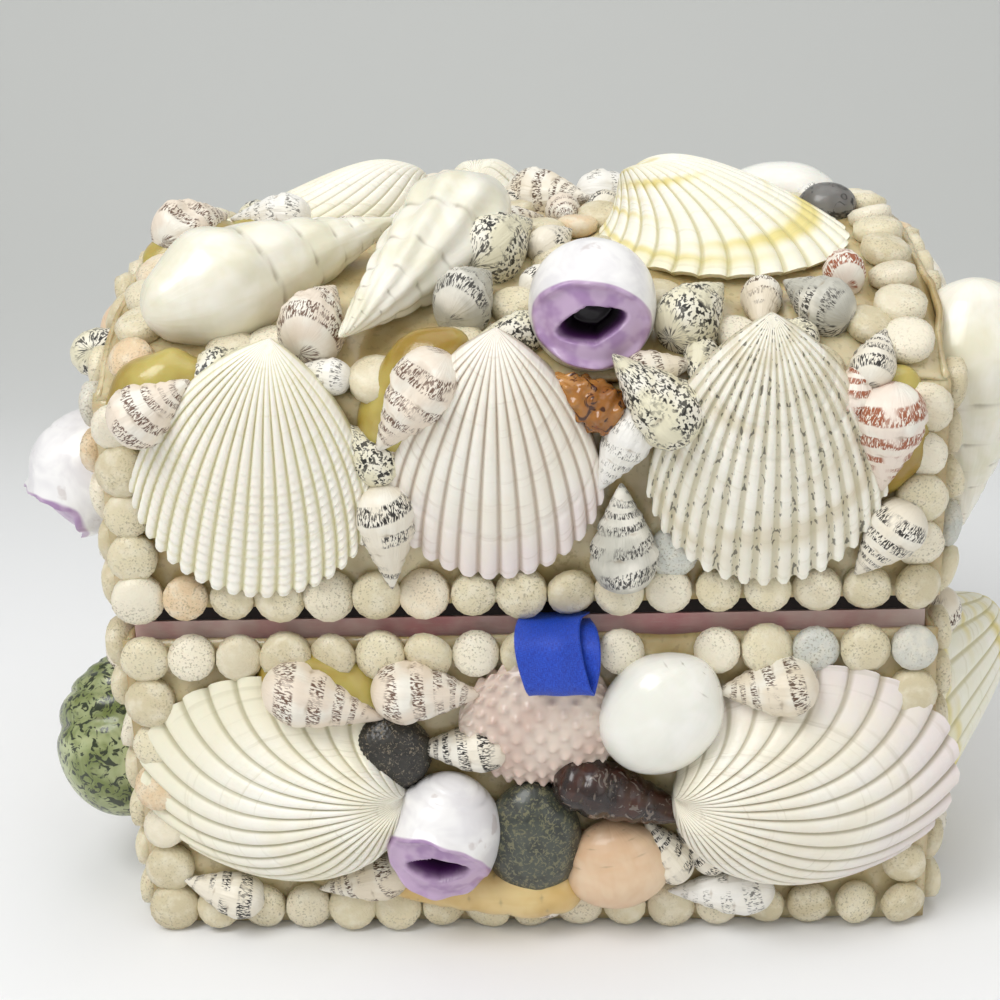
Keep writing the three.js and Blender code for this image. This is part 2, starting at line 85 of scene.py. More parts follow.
def newPiece(add, name, **sizes):
    bpy.ops.object.select_all(action="DESELECT")
    add(**sizes)
    piece = bpy.context.object
    piece.name = name
    return piece


def spotsOf(piece):
    spots = np.empty(len(piece.data.vertices) * 3)
    piece.data.vertices.foreach_get("co", spots)
    return spots.reshape(-1, 3).T


def putSpots(piece, x, y, z):
    piece.data.vertices.foreach_set("co", np.column_stack([x, y, z]).ravel())
    piece.data.update()


def keepValues(piece, name, *columns):
    kind, field = ("FLOAT_VECTOR", "vector") if len(columns) == 3 else ("FLOAT", "value")
    size = len(piece.data.vertices)
    table = np.column_stack([np.broadcast_to(column, size) for column in columns])
    made = piece.data.attributes.new(name, kind, "POINT")
    made.data.foreach_set(field, table.astype(np.float32).ravel())


def smooth(piece):
    piece.data.polygons.foreach_set("use_smooth", np.ones(len(piece.data.polygons), bool))


def select(*pieces):
    bpy.ops.object.select_all(action="DESELECT")
    for piece in pieces:
        piece.select_set(True)
    bpy.context.view_layer.objects.active = pieces[0]


def smoothCurve(points, at):  # a smooth line through a few points
    knots, heights = np.array(points, float).T
    slopes = np.gradient(heights, knots)
    i = np.clip(np.searchsorted(knots, at, side="right") - 1, 0, len(knots) - 2)
    span = knots[i + 1] - knots[i]
    t = np.clip((at - knots[i]) / span, 0, 1)
    first = (2 * t ** 3 - 3 * t ** 2 + 1) * heights[i] + (t ** 3 - 2 * t ** 2 + t) * span * slopes[i]
    last = (3 * t ** 2 - 2 * t ** 3) * heights[i + 1] + (t ** 3 - t ** 2) * span * slopes[i + 1]
    return first + last


def easeStep(value, low, high):
    t = np.clip((value - low) / (high - low), 0, 1)
    return t * t * (3 - 2 * t)


def ripple(x, y, size, seed):  # soft bumps about that size, from -1 to 1
    draw = random.Random(seed)
    total = 0
    for _ in range(8):
        angle = draw.uniform(0, math.tau)
        pace = math.tau / (size * draw.uniform(0.6, 1.6))
        total = total + np.sin((x * math.cos(angle) + y * math.sin(angle)) * pace + draw.uniform(0, 6))
    return total / 5


# Material helpers

def tint(red, green, blue):  # a colour as mixed on screen, from 0 to 255
    return tuple((level / 255) ** 2.2 for level in (red, green, blue)) + (1,)


def newMaterial(name, roughness=0.5, **values):
    material = bpy.data.materials.new(name)
    material.use_nodes = True
    shader = material.node_tree.nodes["Principled BSDF"]
    shader.inputs["Roughness"].default_value = roughness
    for socket, value in values.items():
        shader.inputs[socket.replace("_", " ")].default_value = value
    return material


def addNode(material, kind, sockets, **settings):
    made = material.node_tree.nodes.new(kind)
    for name, value in settings.items():
        setattr(made, name, value)
    for key, value in sockets.items():
        if isinstance(value, bpy.types.NodeSocket):
            material.node_tree.links.new(value, made.inputs[key])
        else:
            made.inputs[key].default_value = value
    return made


def feed(material, socket, value):
    shader = material.node_tree.nodes["Principled BSDF"]
    material.node_tree.links.new(value, shader.inputs[socket])


def objectSpots(material):
    return addNode(material, "ShaderNodeTexCoord", {}).outputs["Object"]


def keptValue(material, name, part=None):
    made = addNode(material, "ShaderNodeAttribute", {}, attribute_name=name)
    if part is None:
        return made.outputs["Vector"]
    if part == "value":
        return made.outputs["Fac"]
    return addNode(material, "ShaderNodeSeparateXYZ", {0: made.outputs["Vector"]}).outputs[part]


def stretched(material, vector, scale, shift=(0, 0, 0)):
    mapping = addNode(material, "ShaderNodeMapping", {"Vector": vector, "Scale": scale, "Location": shift})
    return mapping.outputs[0]


def clouds(material, vector, scale, detail=2.0, roughness=0.5, distortion=0.0):
    made = addNode(material, "ShaderNodeTexNoise", {
        "Vector": vector, "Scale": scale, "Detail": detail, "Roughness": roughness,
        "Distortion": distortion})
    return made.outputs["Fac"]


def sums(material, kind, first, second=0.5):
    return addNode(material, "ShaderNodeMath", {0: first, 1: second}, operation=kind).outputs[0]


def between(material, value, low, high):  # 0 below low, 1 above high, also the other way round
    made = addNode(material, "ShaderNodeMapRange", {
        "Value": value, "From Min": low, "From Max": high}, interpolation_type="SMOOTHSTEP")
    return made.outputs[0]


def mixed(material, share, first, second, blend="MIX"):
    made = addNode(material, "ShaderNodeMix", {0: share, 6: first, 7: second},
                   data_type="RGBA", blend_type=blend)
    return made.outputs[2]


def relief(material, height, distance, strength=0.6):
    made = addNode(material, "ShaderNodeBump", {
        "Height": height, "Distance": distance, "Strength": strength})
    feed(material, "Normal", made.outputs[0])


# Shell finishes

def whelkFinish(name, ground, dash, amount=0.5, dashSize=(1, 0.34), banded=1.0, ribs=0.5):
    shell = newMaterial(name, 0.42, Coat_Weight=0.1)
    coil = keptValue(shell, "coil")
    bulge = keptValue(shell, "whorl", "X")
    skew = keptValue(shell, "whorl", "Y")
    dashes = clouds(shell, stretched(shell, coil, (dashSize[0], dashSize[1], dashSize[0])), 3.4, 1.0, 0.5, 0.6)
    bandNoise = clouds(shell, coil, 0.12, 1.0)
    band = between(shell, sums(shell, "ADD", skew, bandNoise), 0.25, 0.65)
    band = sums(shell, "MAXIMUM", band, 1 - banded)
    worn = clouds(shell, objectSpots(shell), 160, 2.0)
    ink = between(shell, dashes, 0.63 - 0.3 * amount, 0.73 - 0.3 * amount)
    ink = sums(shell, "MULTIPLY", ink, band)
    ink = sums(shell, "MULTIPLY", ink, between(shell, worn, 0.36, 0.5))
    pale = mixed(shell, between(shell, worn, 0.4, 0.7), ground, tint(240, 236, 224))
    # painted shade: where the whorl's bulge is low, in the seams between the whorls, the colour is darkened towards
    # brown
    paintedSeamShade = between(shell, bulge, 0.55, 0.1)
    body = mixed(shell, sums(shell, "MULTIPLY", paintedSeamShade, 0.55), pale, tint(150, 128, 96))
    feed(shell, "Base Color", mixed(shell, ink, body, dash))
    fine = clouds(shell, stretched(shell, coil, (1.5, 0.12, 1.5)), 1.4, 2.0)
    relief(shell, sums(shell, "ADD", fine, sums(shell, "MULTIPLY", ink, 0.2)), 0.0004, ribs)
    return shell


def smoothFinish(name, ground, shade, blotch=None, rough=0.3, speckle=0.0, scale=90):
    shell = newMaterial(name, rough, Coat_Weight=0.25, Subsurface_Weight=0.08)
    shell.node_tree.nodes["Principled BSDF"].inputs["Subsurface Scale"].default_value = 0.002
    coil = keptValue(shell, "coil")
    spots = objectSpots(shell)
    cloudy = clouds(shell, spots, scale, 3.0, 0.55, 0.4)
    colour = mixed(shell, between(shell, cloudy, 0.35, 0.68), ground, shade)
    streak = clouds(shell, stretched(shell, coil, (0.5, 0.06, 0.5)), 1.0, 2.0)
    colour = mixed(shell, sums(shell, "MULTIPLY", between(shell, streak, 0.5, 0.75), 0.3), colour, shade)
    # painted shade: where the whorl's bulge is low, in the seams between the whorls, the colour is darkened towards
    # brown
    seam = between(shell, keptValue(shell, "whorl", "X"), 0.5, 0.05)
    colour = mixed(shell, sums(shell, "MULTIPLY", seam, 0.5), colour, tint(120, 104, 78))
    if blotch:
        patch = clouds(shell, spots, scale * 3.2, 2.0, 0.6, 1.5)
        colour = mixed(shell, between(shell, patch, 0.62 - 0.25 * speckle, 0.68 - 0.2 * speckle), colour, blotch)
    feed(shell, "Base Color", colour)
    relief(shell, sums(shell, "ADD", streak, sums(shell, "MULTIPLY", cloudy, 0.5)), 0.0003, 0.35)
    return shell


def valveFinish(name, ground, groove, band=None, speck=None, rough=0.42, margin=None):
    shell = newMaterial(name, rough, Coat_Weight=0.08, Subsurface_Weight=0.06)
    shell.node_tree.nodes["Principled BSDF"].inputs["Subsurface Scale"].default_value = 0.002
    across = keptValue(shell, "fan", "X")
    outward = keptValue(shell, "fan", "Y")
    crest = keptValue(shell, "fan", "Z")
    spots = objectSpots(shell)
    cloudy = clouds(shell, spots, 70, 3.0, 0.6)
    rings = addNode(shell, "ShaderNodeCombineXYZ", {
        0: sums(shell, "MULTIPLY", across, 3.0), 1: sums(shell, "MULTIPLY", outward, 34.0)})
    growth = clouds(shell, rings.outputs[0], 1.0, 2.0, 0.6)
    colour = mixed(shell, between(shell, cloudy, 0.35, 0.7), ground, tint(246, 243, 232))
    if band:
        broad = addNode(shell, "ShaderNodeCombineXYZ", {
            0: sums(shell, "MULTIPLY", across, 1.2), 1: sums(shell, "MULTIPLY", outward, 7.0)})
        wide = clouds(shell, broad.outputs[0], 1.0, 1.0)
        colour = mixed(shell, between(shell, wide, 0.48, 0.66), colour, band)
    if margin:
        edge = between(shell, sums(shell, "ADD", outward, sums(shell, "MULTIPLY", cloudy, 0.5)), 0.9, 1.3)
        colour = mixed(shell, sums(shell, "MULTIPLY", edge, 0.6), colour, margin)
    colour = mixed(shell, sums(shell, "MULTIPLY", between(shell, growth, 0.55, 0.7), 0.22), colour, groove)
    # painted shade: where the rib crest is low, in the hollows between the ribs, the colour is darkened towards the
    # groove colour
    low = between(shell, crest, 0.62, 0.12)
    colour = mixed(shell, sums(shell, "MULTIPLY", low, 0.6), colour, groove)
    if speck:
        dots = clouds(shell, stretched(shell, spots, (1, 1, 0.5)), 1500, 1.0)
        dots = sums(shell, "MULTIPLY", between(shell, dots, 0.6, 0.66), between(shell, crest, 0.8, 0.4))
        colour = mixed(shell, sums(shell, "MULTIPLY", dots, 0.75), colour, speck)
    feed(shell, "Base Color", colour)
    grain = clouds(shell, spots, 1300, 2.0)
    relief(shell, sums(shell, "ADD", growth, sums(shell, "MULTIPLY", grain, 0.25)), 0.00035, 0.5)
    return shell


def violetFinish():
    shell = newMaterial("violetSnail", 0.32, Coat_Weight=0.3)
    spots = objectSpots(shell)
    cloudy = clouds(shell, spots, 110, 3.0, 0.6, 0.6)
    outside = mixed(shell, between(shell, cloudy, 0.35, 0.65), tint(226, 224, 226), tint(246, 245, 244))
    crust = between(shell, clouds(shell, spots, 210, 3.0), 0.62, 0.7)
    outside = mixed(shell, sums(shell, "MULTIPLY", crust, 0.35), outside, tint(160, 138, 130))
    mask = keptValue(shell, "whorl", "Z")
    depth = keptValue(shell, "whorl", "Y")
    lip = mixed(shell, between(shell, clouds(shell, spots, 260, 2.0), 0.4, 0.65), tint(190, 164, 194),
                tint(162, 130, 172))
    # darker with depth into the mouth's hole: the deep violet is partly the shell's own colour and partly painted
    # shade, and the near-black at the bottom is painted shade
    throat = mixed(shell, between(shell, depth, 0.02, 0.4), lip, tint(104, 54, 118))
    throat = mixed(shell, between(shell, depth, 0.3, 0.75), throat, tint(30, 12, 32))
    ragged = sums(shell, "ADD", mask, sums(shell, "MULTIPLY", cloudy, 0.3))
    feed(shell, "Base Color", mixed(shell, between(shell, ragged, 0.5, 0.8), outside, throat))
    relief(shell, cloudy, 0.0004, 0.4)
    return shell


def beadFinish():
    bead = newMaterial("beadShell", 0.45, Coat_Weight=0.12, Subsurface_Weight=0.06)
    bead.node_tree.nodes["Principled BSDF"].inputs["Subsurface Scale"].default_value = 0.0015
    tone = keptValue(bead, "tone", "value")
    spots = objectSpots(bead)
    colour = mixed(bead, between(bead, tone, 0.0, 0.45), tint(226, 216, 184), tint(208, 196, 162))
    colour = mixed(bead, between(bead, tone, 0.55, 0.8), colour, tint(236, 228, 206))
    colour = mixed(bead, between(bead, tone, 0.9, 0.93), colour, tint(222, 196, 158))
    colour = mixed(bead, between(bead, tone, 0.975, 0.98), colour, tint(204, 206, 198))
    cloudy = clouds(bead, spots, 320, 3.0, 0.6)
    colour = mixed(bead, sums(bead, "MULTIPLY", between(bead, cloudy, 0.42, 0.7), 0.5), colour, tint(238, 232, 212))
    dots = clouds(bead, spots, 2400, 1.0)
    patch = between(bead, clouds(bead, spots, 110, 1.0), 0.34, 0.62)
    level = sums(bead, "MULTIPLY", between(bead, dots, 0.54, 0.7), patch)
    colour = mixed(bead, sums(bead, "MULTIPLY", level, 0.5), colour, tint(118, 106, 76))
    feed(bead, "Base Color", colour)
    relief(bead, sums(bead, "ADD", dots, cloudy), 0.0003, 0.5)
    return bead


def glueFinish():
    glue = newMaterial("glue", 0.28, Coat_Weight=0.35, Subsurface_Weight=0.2)
    glue.node_tree.nodes["Principled BSDF"].inputs["Subsurface Scale"].default_value = 0.003
    spots = objectSpots(glue)
    cloudy = clouds(glue, spots, 60, 3.0, 0.6)
    grit = clouds(glue, spots, 900, 2.0)
    colour = mixed(glue, between(glue, cloudy, 0.32, 0.68), tint(174, 154, 106), tint(214, 200, 162))
    colour = mixed(glue, sums(glue, "MULTIPLY", between(glue, grit, 0.56, 0.68), 0.28), colour, tint(122, 104, 70))
    amber = keptValue(glue, "amber", "value")
    resin = mixed(glue, between(glue, cloudy, 0.35, 0.65), tint(150, 120, 40), tint(188, 172, 92))
    feed(glue, "Base Color", mixed(glue, amber, colour, resin))
    relief(glue, sums(glue, "ADD", cloudy, sums(glue, "MULTIPLY", grit, 0.3)), 0.0006, 0.5)
    return glue


white = tint(238, 235, 224)
cream = tint(228, 218, 188)
finishes = {
    "glue": glueFinish(),
    "bead": beadFinish(),
    "brownDash": whelkFinish("brownDash", tint(228, 216, 194), tint(92, 70, 52)),
    "pinkDash": whelkFinish("pinkDash", tint(232, 218, 200), tint(108, 82, 66), 0.55),
    "redDash": whelkFinish("redDash", tint(236, 222, 208), tint(158, 92, 62), 0.75),
    "blackDash": whelkFinish("blackDash", tint(232, 224, 206), tint(42, 38, 34), 0.6),
    "blackSpot": whelkFinish("blackSpot", tint(226, 220, 192), tint(36, 34, 28), 0.5, (0.42, 0.42), 0.1),
    "greyDash": whelkFinish("greyDash", tint(190, 188, 176), tint(74, 72, 68), 0.55),
    "paleWhelk": whelkFinish("paleWhelk", tint(240, 238, 232), tint(128, 126, 120), 0.35),
    "auger": smoothFinish("auger", tint(242, 239, 226), tint(228, 224, 200), rough=0.26),
    "moon": smoothFinish("moon", tint(246, 245, 238), tint(236, 236, 226), rough=0.2),
    "peach": smoothFinish("peach", tint(226, 200, 168), tint(214, 178, 142), rough=0.35),
    "tan": smoothFinish("tan", tint(222, 196, 138), tint(204, 170, 104), rough=0.32),
    "brown": smoothFinish("brown", tint(188, 134, 70), tint(142, 88, 34), tint(70, 38, 14), 0.16, 0.25),
    "dark": smoothFinish("dark", tint(74, 78, 70), tint(52, 55, 50), tint(112, 110, 84), 0.38, 0.4, 300),
    "pebbly": smoothFinish("pebbly", tint(50, 48, 42), tint(34, 32, 28), tint(124, 114, 96), 0.45, 0.2, 420),
    "cerith": smoothFinish("cerith", tint(40, 33, 31), tint(74, 44, 34), tint(110, 100, 92), 0.25, 0.1, 130),
    "grey": smoothFinish("grey", tint(128, 126, 122), tint(92, 90, 88), tint(60, 58, 56), 0.35, 0.3),
    "pimpled": smoothFinish("pimpled", tint(224, 208, 194), tint(204, 178, 164), rough=0.3),
    "turban": smoothFinish("turban", tint(112, 124, 66), tint(176, 184, 138), tint(44, 52, 30), 0.3, 0.45, 130),
    "violet": violetFinish(),
    "greenScallop": valveFinish("greenScallop", tint(246, 241, 228), tint(204, 198, 138)),
    "lilacScallop": valveFinish("lilacScallop", tint(240, 234, 220), tint(172, 150, 128),
                                margin=tint(222, 206, 208)),
    "speckScallop": valveFinish("speckScallop", tint(234, 230, 214), tint(188, 178, 142),
                                speck=tint(62, 58, 48), band=tint(222, 214, 192)),
    "whiteArk": valveFinish("whiteArk", tint(240, 235, 214), tint(164, 156, 116),
                            margin=tint(232, 226, 192)),
    "lilacArk": valveFinish("lilacArk", tint(240, 234, 216), tint(160, 148, 116),
                            margin=tint(218, 204, 208)),
    "yellowArk": valveFinish("yellowArk", tint(240, 238, 218), tint(182, 172, 116),
                             band=tint(226, 212, 138)),
}


# Coiled shells: a ball drawn out along its axis, with the seam of its whorls pressed in.
# An outline gives the share of half the width at a share of the length, from the mouth to the tip.

coilForms = {
    "nassa": {"outline": [(0, 0.5), (0.14, 0.84), (0.36, 1), (0.56, 0.78), (0.8, 0.4), (1, 0.04)],
              "rounding": (0.1, 0.02),
              "seam": 0.6, "ratio": 0.68, "groove": 0.14, "lean": 1.15, "ribs": 14, "rib": 0.03},
    "auger": {"outline": [(0, 0.36), (0.08, 0.6), (0.24, 1), (0.42, 0.88), (0.6, 0.66), (0.8, 0.36), (1, 0.04)],
              "rounding": (0.06, 0.02),
              "seam": 0.62, "ratio": 0.7, "groove": 0.1, "lean": 1.4, "ribs": 9, "rib": 0.015},
    "turret": {"outline": [(0, 0.7), (0.22, 1), (0.5, 0.84), (0.78, 0.52), (1, 0.12)],
               "rounding": (0.1, 0.03),
               "seam": 0.8, "ratio": 0.74, "groove": 0.14, "lean": 1, "ribs": 0, "rib": 0},
    "moon": {"outline": [(0, 0.95), (0.45, 1), (0.72, 0.84), (1, 0.42)], "rounding": (0.45, 0.22),
             "seam": 0.34, "ratio": 0.5, "groove": 0.07, "lean": 1, "ribs": 0, "rib": 0},
    "globe": {"outline": [(0, 1), (0.5, 1), (0.8, 0.94), (1, 0.8)], "rounding": (0.5, 0.45),
              "seam": 0.14, "ratio": 0.5, "groove": 0.035, "lean": 1, "ribs": 0, "rib": 0},
}

coilSink = 0.2  # share of its height that a coiled shell sinks in the glue


def coiledShell(name, form, length, width, height=None, rise=0, sides=44, rings=30,
                mouth=0, pimples=None, **changes):
    look = {**coilForms[form], **changes}
    height = (height or width) + rise
    shell = newPiece(bpy.ops.mesh.primitive_uv_sphere_add, name,
                     segments=sides, ring_count=rings, radius=1)
    x, y, z = spotsOf(shell)
    around = np.arctan2(y, x)
    up = (1 + z) / 2
    fromTip = np.maximum(1 - up, 0.004)
    turns = np.log(fromTip / look["seam"]) / math.log(look["ratio"]) - around / math.tau
    whorl = turns % 1
    bodyRise = np.sin(np.clip(-turns / 0.4, 0, 1) * math.pi / 2)
    bulge = np.where(turns < 0, bodyRise, np.sin(math.pi * whorl ** look["lean"])) ** 0.4
    shown = np.clip((5.2 - turns) / 1.5, 0, 1)
    mouthEnd, tipEnd = look["rounding"]
    rounded = (1 - (1 - np.minimum(up / mouthEnd, 1)) ** 2) * (1 - (1 - np.minimum((1 - up) / tipEnd, 1)) ** 2)
    reach = smoothCurve(look["outline"], up) * np.sqrt(np.maximum(rounded, 0))
    reach = reach * (1 - look["groove"] * shown * (1 - bulge))
    if look["ribs"]:
        ribWave = np.cos(look["ribs"] * around + 2 * turns)
        reach = reach * (1 + look["rib"] * ribWave * easeStep(up, 0.12, 0.35))
    dent = np.exp(-((around - 0.5) / 0.55) ** 4 - ((up - 0.3) / 0.2) ** 4) * mouth
    reach = reach * (1 - 0.5 * dent + 0.35 * dent * (1 - dent))
    across = reach * width / 2 * np.sin(around)
    out = reach * height / 2 * np.cos(around)
    if pimples:  # rounds of knobs about the axis, rows along it, and how far they stand up
        rounds, rows, lift = pimples
        knobs = np.cos(rounds * around + 3 * up) * np.cos(math.tau * rows * up + math.pi / rounds)
        knobs = lift * np.maximum(knobs, 0) ** 1.4 * np.minimum(reach * 2, 1)
        lean = np.hypot(np.sin(around) / width, np.cos(around) / height) + 1e-9
        across = across + knobs * np.sin(around) / width / lean
        out = out + knobs * np.cos(around) / height / lean
    putSpots(shell, across, (up - 0.5) * length, out + height * (0.5 - coilSink))
    keepValues(shell, "coil", np.cos(around) * width / 2, (up - 0.5) * length, np.sin(around) * width / 2)
    keepValues(shell, "whorl", bulge, np.sin(math.tau * (whorl - 0.05)), dent)
    smooth(shell)
    return shell


violetMouth = {
    "wide": 0.44, "tall": 0.29, "middle": -0.12,  # half sizes and place, as shares of the shell's
    "dish": 0.1, "lip": 0.06,
    "hole": {"wide": 0.27, "tall": 0.13, "depth": 0.5, "tilt": 14},
}


def violetSnail(name, length, width, height, rise=0, dip=30):
    shell = coiledShell(name, "globe", length, width, height, rise, sides=120, rings=96, groove=0.07)
    height = height + rise
    mouth = violetMouth
    hole = mouth["hole"]
    x, y, z = spotsOf(shell)
    angle = math.radians(dip)
    y0, z0 = mouth["middle"] * length, 0.3 * height
    side = (y - y0) * math.cos(angle) + (z - z0) * math.sin(angle)  # along the mouth
    ahead = (z - z0) * math.cos(angle) - (y - y0) * math.sin(angle)  # out of the mouth
    far = np.hypot(x / (mouth["wide"] * width), side / (mouth["tall"] * length) + 0.3 * x / width)
    outer = easeStep(ahead, 0, 0.14 * height)
    tilt = math.radians(hole["tilt"])
    longWay = (x * math.cos(tilt) + side * math.sin(tilt)) / (hole["wide"] * width)
    shortWay = (side * math.cos(tilt) - x * math.sin(tilt)) / (hole["tall"] * length)
    almond = np.abs(longWay) + shortWay ** 2
    pit = easeStep(almond, 1.1, 0.55) * outer
    dish = np.clip(1 - far, 0, 1) ** 0.6 * outer
    ring = np.exp(-((far - 1.02) / 0.12) ** 2) * outer
    uneven = 1 + 0.5 * ripple(x, side, 5, 11)
    ahead = ahead - height * (mouth["dish"] * dish + hole["depth"] * pit - mouth["lip"] * ring * uneven)
    y = y0 + side * math.cos(angle) - ahead * math.sin(angle)
    z = z0 + side * math.sin(angle) + ahead * math.cos(angle)
    putSpots(shell, x, y, z)
    values = shell.data.attributes["whorl"].data
    kept = np.empty(len(values) * 3)
    values.foreach_get("vector", kept)
    values.foreach_set("vector", np.column_stack([
        kept.reshape(-1, 3)[:, 0], pit, easeStep(far, 1.16, 0.98) * outer]).ravel())
    return shell


# Valves: a sheet gathered at the beak and fanned out to the margin, domed and ribbed.

def scallopReach(turn, slim):
    return 1 - 0.24 * turn ** 2


def arkReach(turn, slim):
    angle = np.radians(valveForms["ark"]["spread"] * turn)
    return slim ** 2 * np.cos(angle) / (slim ** 2 * np.cos(angle) ** 2 + np.sin(angle) ** 2)


valveForms = {
    "scallop": {"spread": 36, "splay": 0.8, "reach": scallopReach, "crown": 0.62, "height": 9},
    "ark": {"spread": 84, "splay": 0, "reach": arkReach, "crown": 0.5, "height": 12},
}


def evenTurns(look, share, slim):  # so that the ribs meet the margin evenly
    turn = np.linspace(-1, 1, 400)
    angle = np.radians(look["spread"] * turn)
    reach = look["reach"](turn, slim)
    walk = np.cumsum(np.hypot(np.gradient(reach * np.sin(angle)), np.gradient(reach * np.cos(angle))))
    return np.interp((share + 1) / 2, (walk - walk[0]) / (walk[-1] - walk[0]), turn)


def valve(name, form, length, width, height=None, ribs=18, curl=0, raised=2.0, rib=0.8,
          sharp=1.0, scales=0, growth=(), columns=6, rows=50):  # columns to a rib
    look = valveForms[form]
    height = (height or look["height"]) - 0.4 * raised
    rim = 0.6
    shell = newPiece(bpy.ops.mesh.primitive_grid_add, name,
                     x_subdivisions=columns * ribs, y_subdivisions=rows, size=2)
    x, y, z = spotsOf(shell)
    outward = (1 - y) / 2
    slim = width / length
    turn = evenTurns(look, x, slim)
    wave = np.minimum(1.3 * np.abs(np.sin(math.pi * ribs * (x + 1) / 2)) ** sharp, 1)
    reach = look["reach"](turn, slim)
    opened = look["spread"] * turn * (1 + look["splay"] * (1 - outward))
    angle = np.radians(opened + curl * outward * (1 - outward))
    margin = np.radians(look["spread"] * turn)
    widest = np.max(reach * np.sin(margin))
    out = reach * length * outward * (1 + 0.022 * (wave - 0.6) * outward ** 8)
    across = np.sqrt(np.clip(1 - turn ** 2, 0, 1)) ** 0.8
    dome = across * np.sin(math.pi * outward ** look["crown"]) + 0.35 * (1 - outward)
    ridge = rib * (wave - 0.55) * easeStep(outward, 0, 0.35) * np.minimum(6 * (1 - np.abs(x)), 1)
    steps = (outward * scales + 0.25 * wave) % 1 if scales else 0
    scaly = easeStep(outward, 0.35, 0.65) if scales else 0
    ridge = ridge + 0.55 * (steps - 0.5) * wave * scaly
    for ring in growth:
        ridge = ridge - 0.35 * np.exp(-((outward - ring) / 0.009) ** 2)
    putSpots(shell,
             out * np.sin(angle) * slim / (2 * widest),
             length / 2 - out * np.cos(angle),
             rim + raised * outward ** 2 + height * dome + ridge)
    keepValues(shell, "fan", (x + 1) / 2, outward, wave * (1 - 0.5 * scaly * (1 - steps) ** 2))
    closeUnderneath(shell, 1.0)
    return shell


def closeUnderneath(shell, thickness):
    select(shell)
    bpy.ops.object.mode_set(mode="EDIT")
    bpy.ops.mesh.select_all(action="SELECT")
    bpy.ops.mesh.remove_doubles(threshold=0.001)
    bpy.ops.mesh.select_all(action="DESELECT")
    bpy.ops.mesh.select_mode(type="EDGE")
    bpy.ops.mesh.select_non_manifold(extend=False, use_wire=False, use_multi_face=False,
                                     use_non_contiguous=False, use_verts=False)
    bpy.ops.mesh.extrude_region_move(TRANSFORM_OT_translate={"value": (0, 0, -thickness)})
    bpy.ops.transform.resize(value=(0.96, 0.96, 1), center_override=(0, 0, 0))
    bpy.ops.mesh.extrude_region_move(TRANSFORM_OT_translate={"value": (0, 0, 0)})
    bpy.ops.mesh.merge(type="CENTER")
    bpy.ops.mesh.select_all(action="SELECT")
    bpy.ops.mesh.normals_make_consistent(inside=False)
    bpy.ops.object.mode_set(mode="OBJECT")
    smooth(shell)
    shell.select_set(True)
    bpy.ops.object.shade_smooth_by_angle(angle=math.radians(62))


# The layout. Each row has a shell's name, kind, spot on its wall, direction of its tip, length,
# width, finish and further settings. A shell without a name is part of its wall's shellwork.

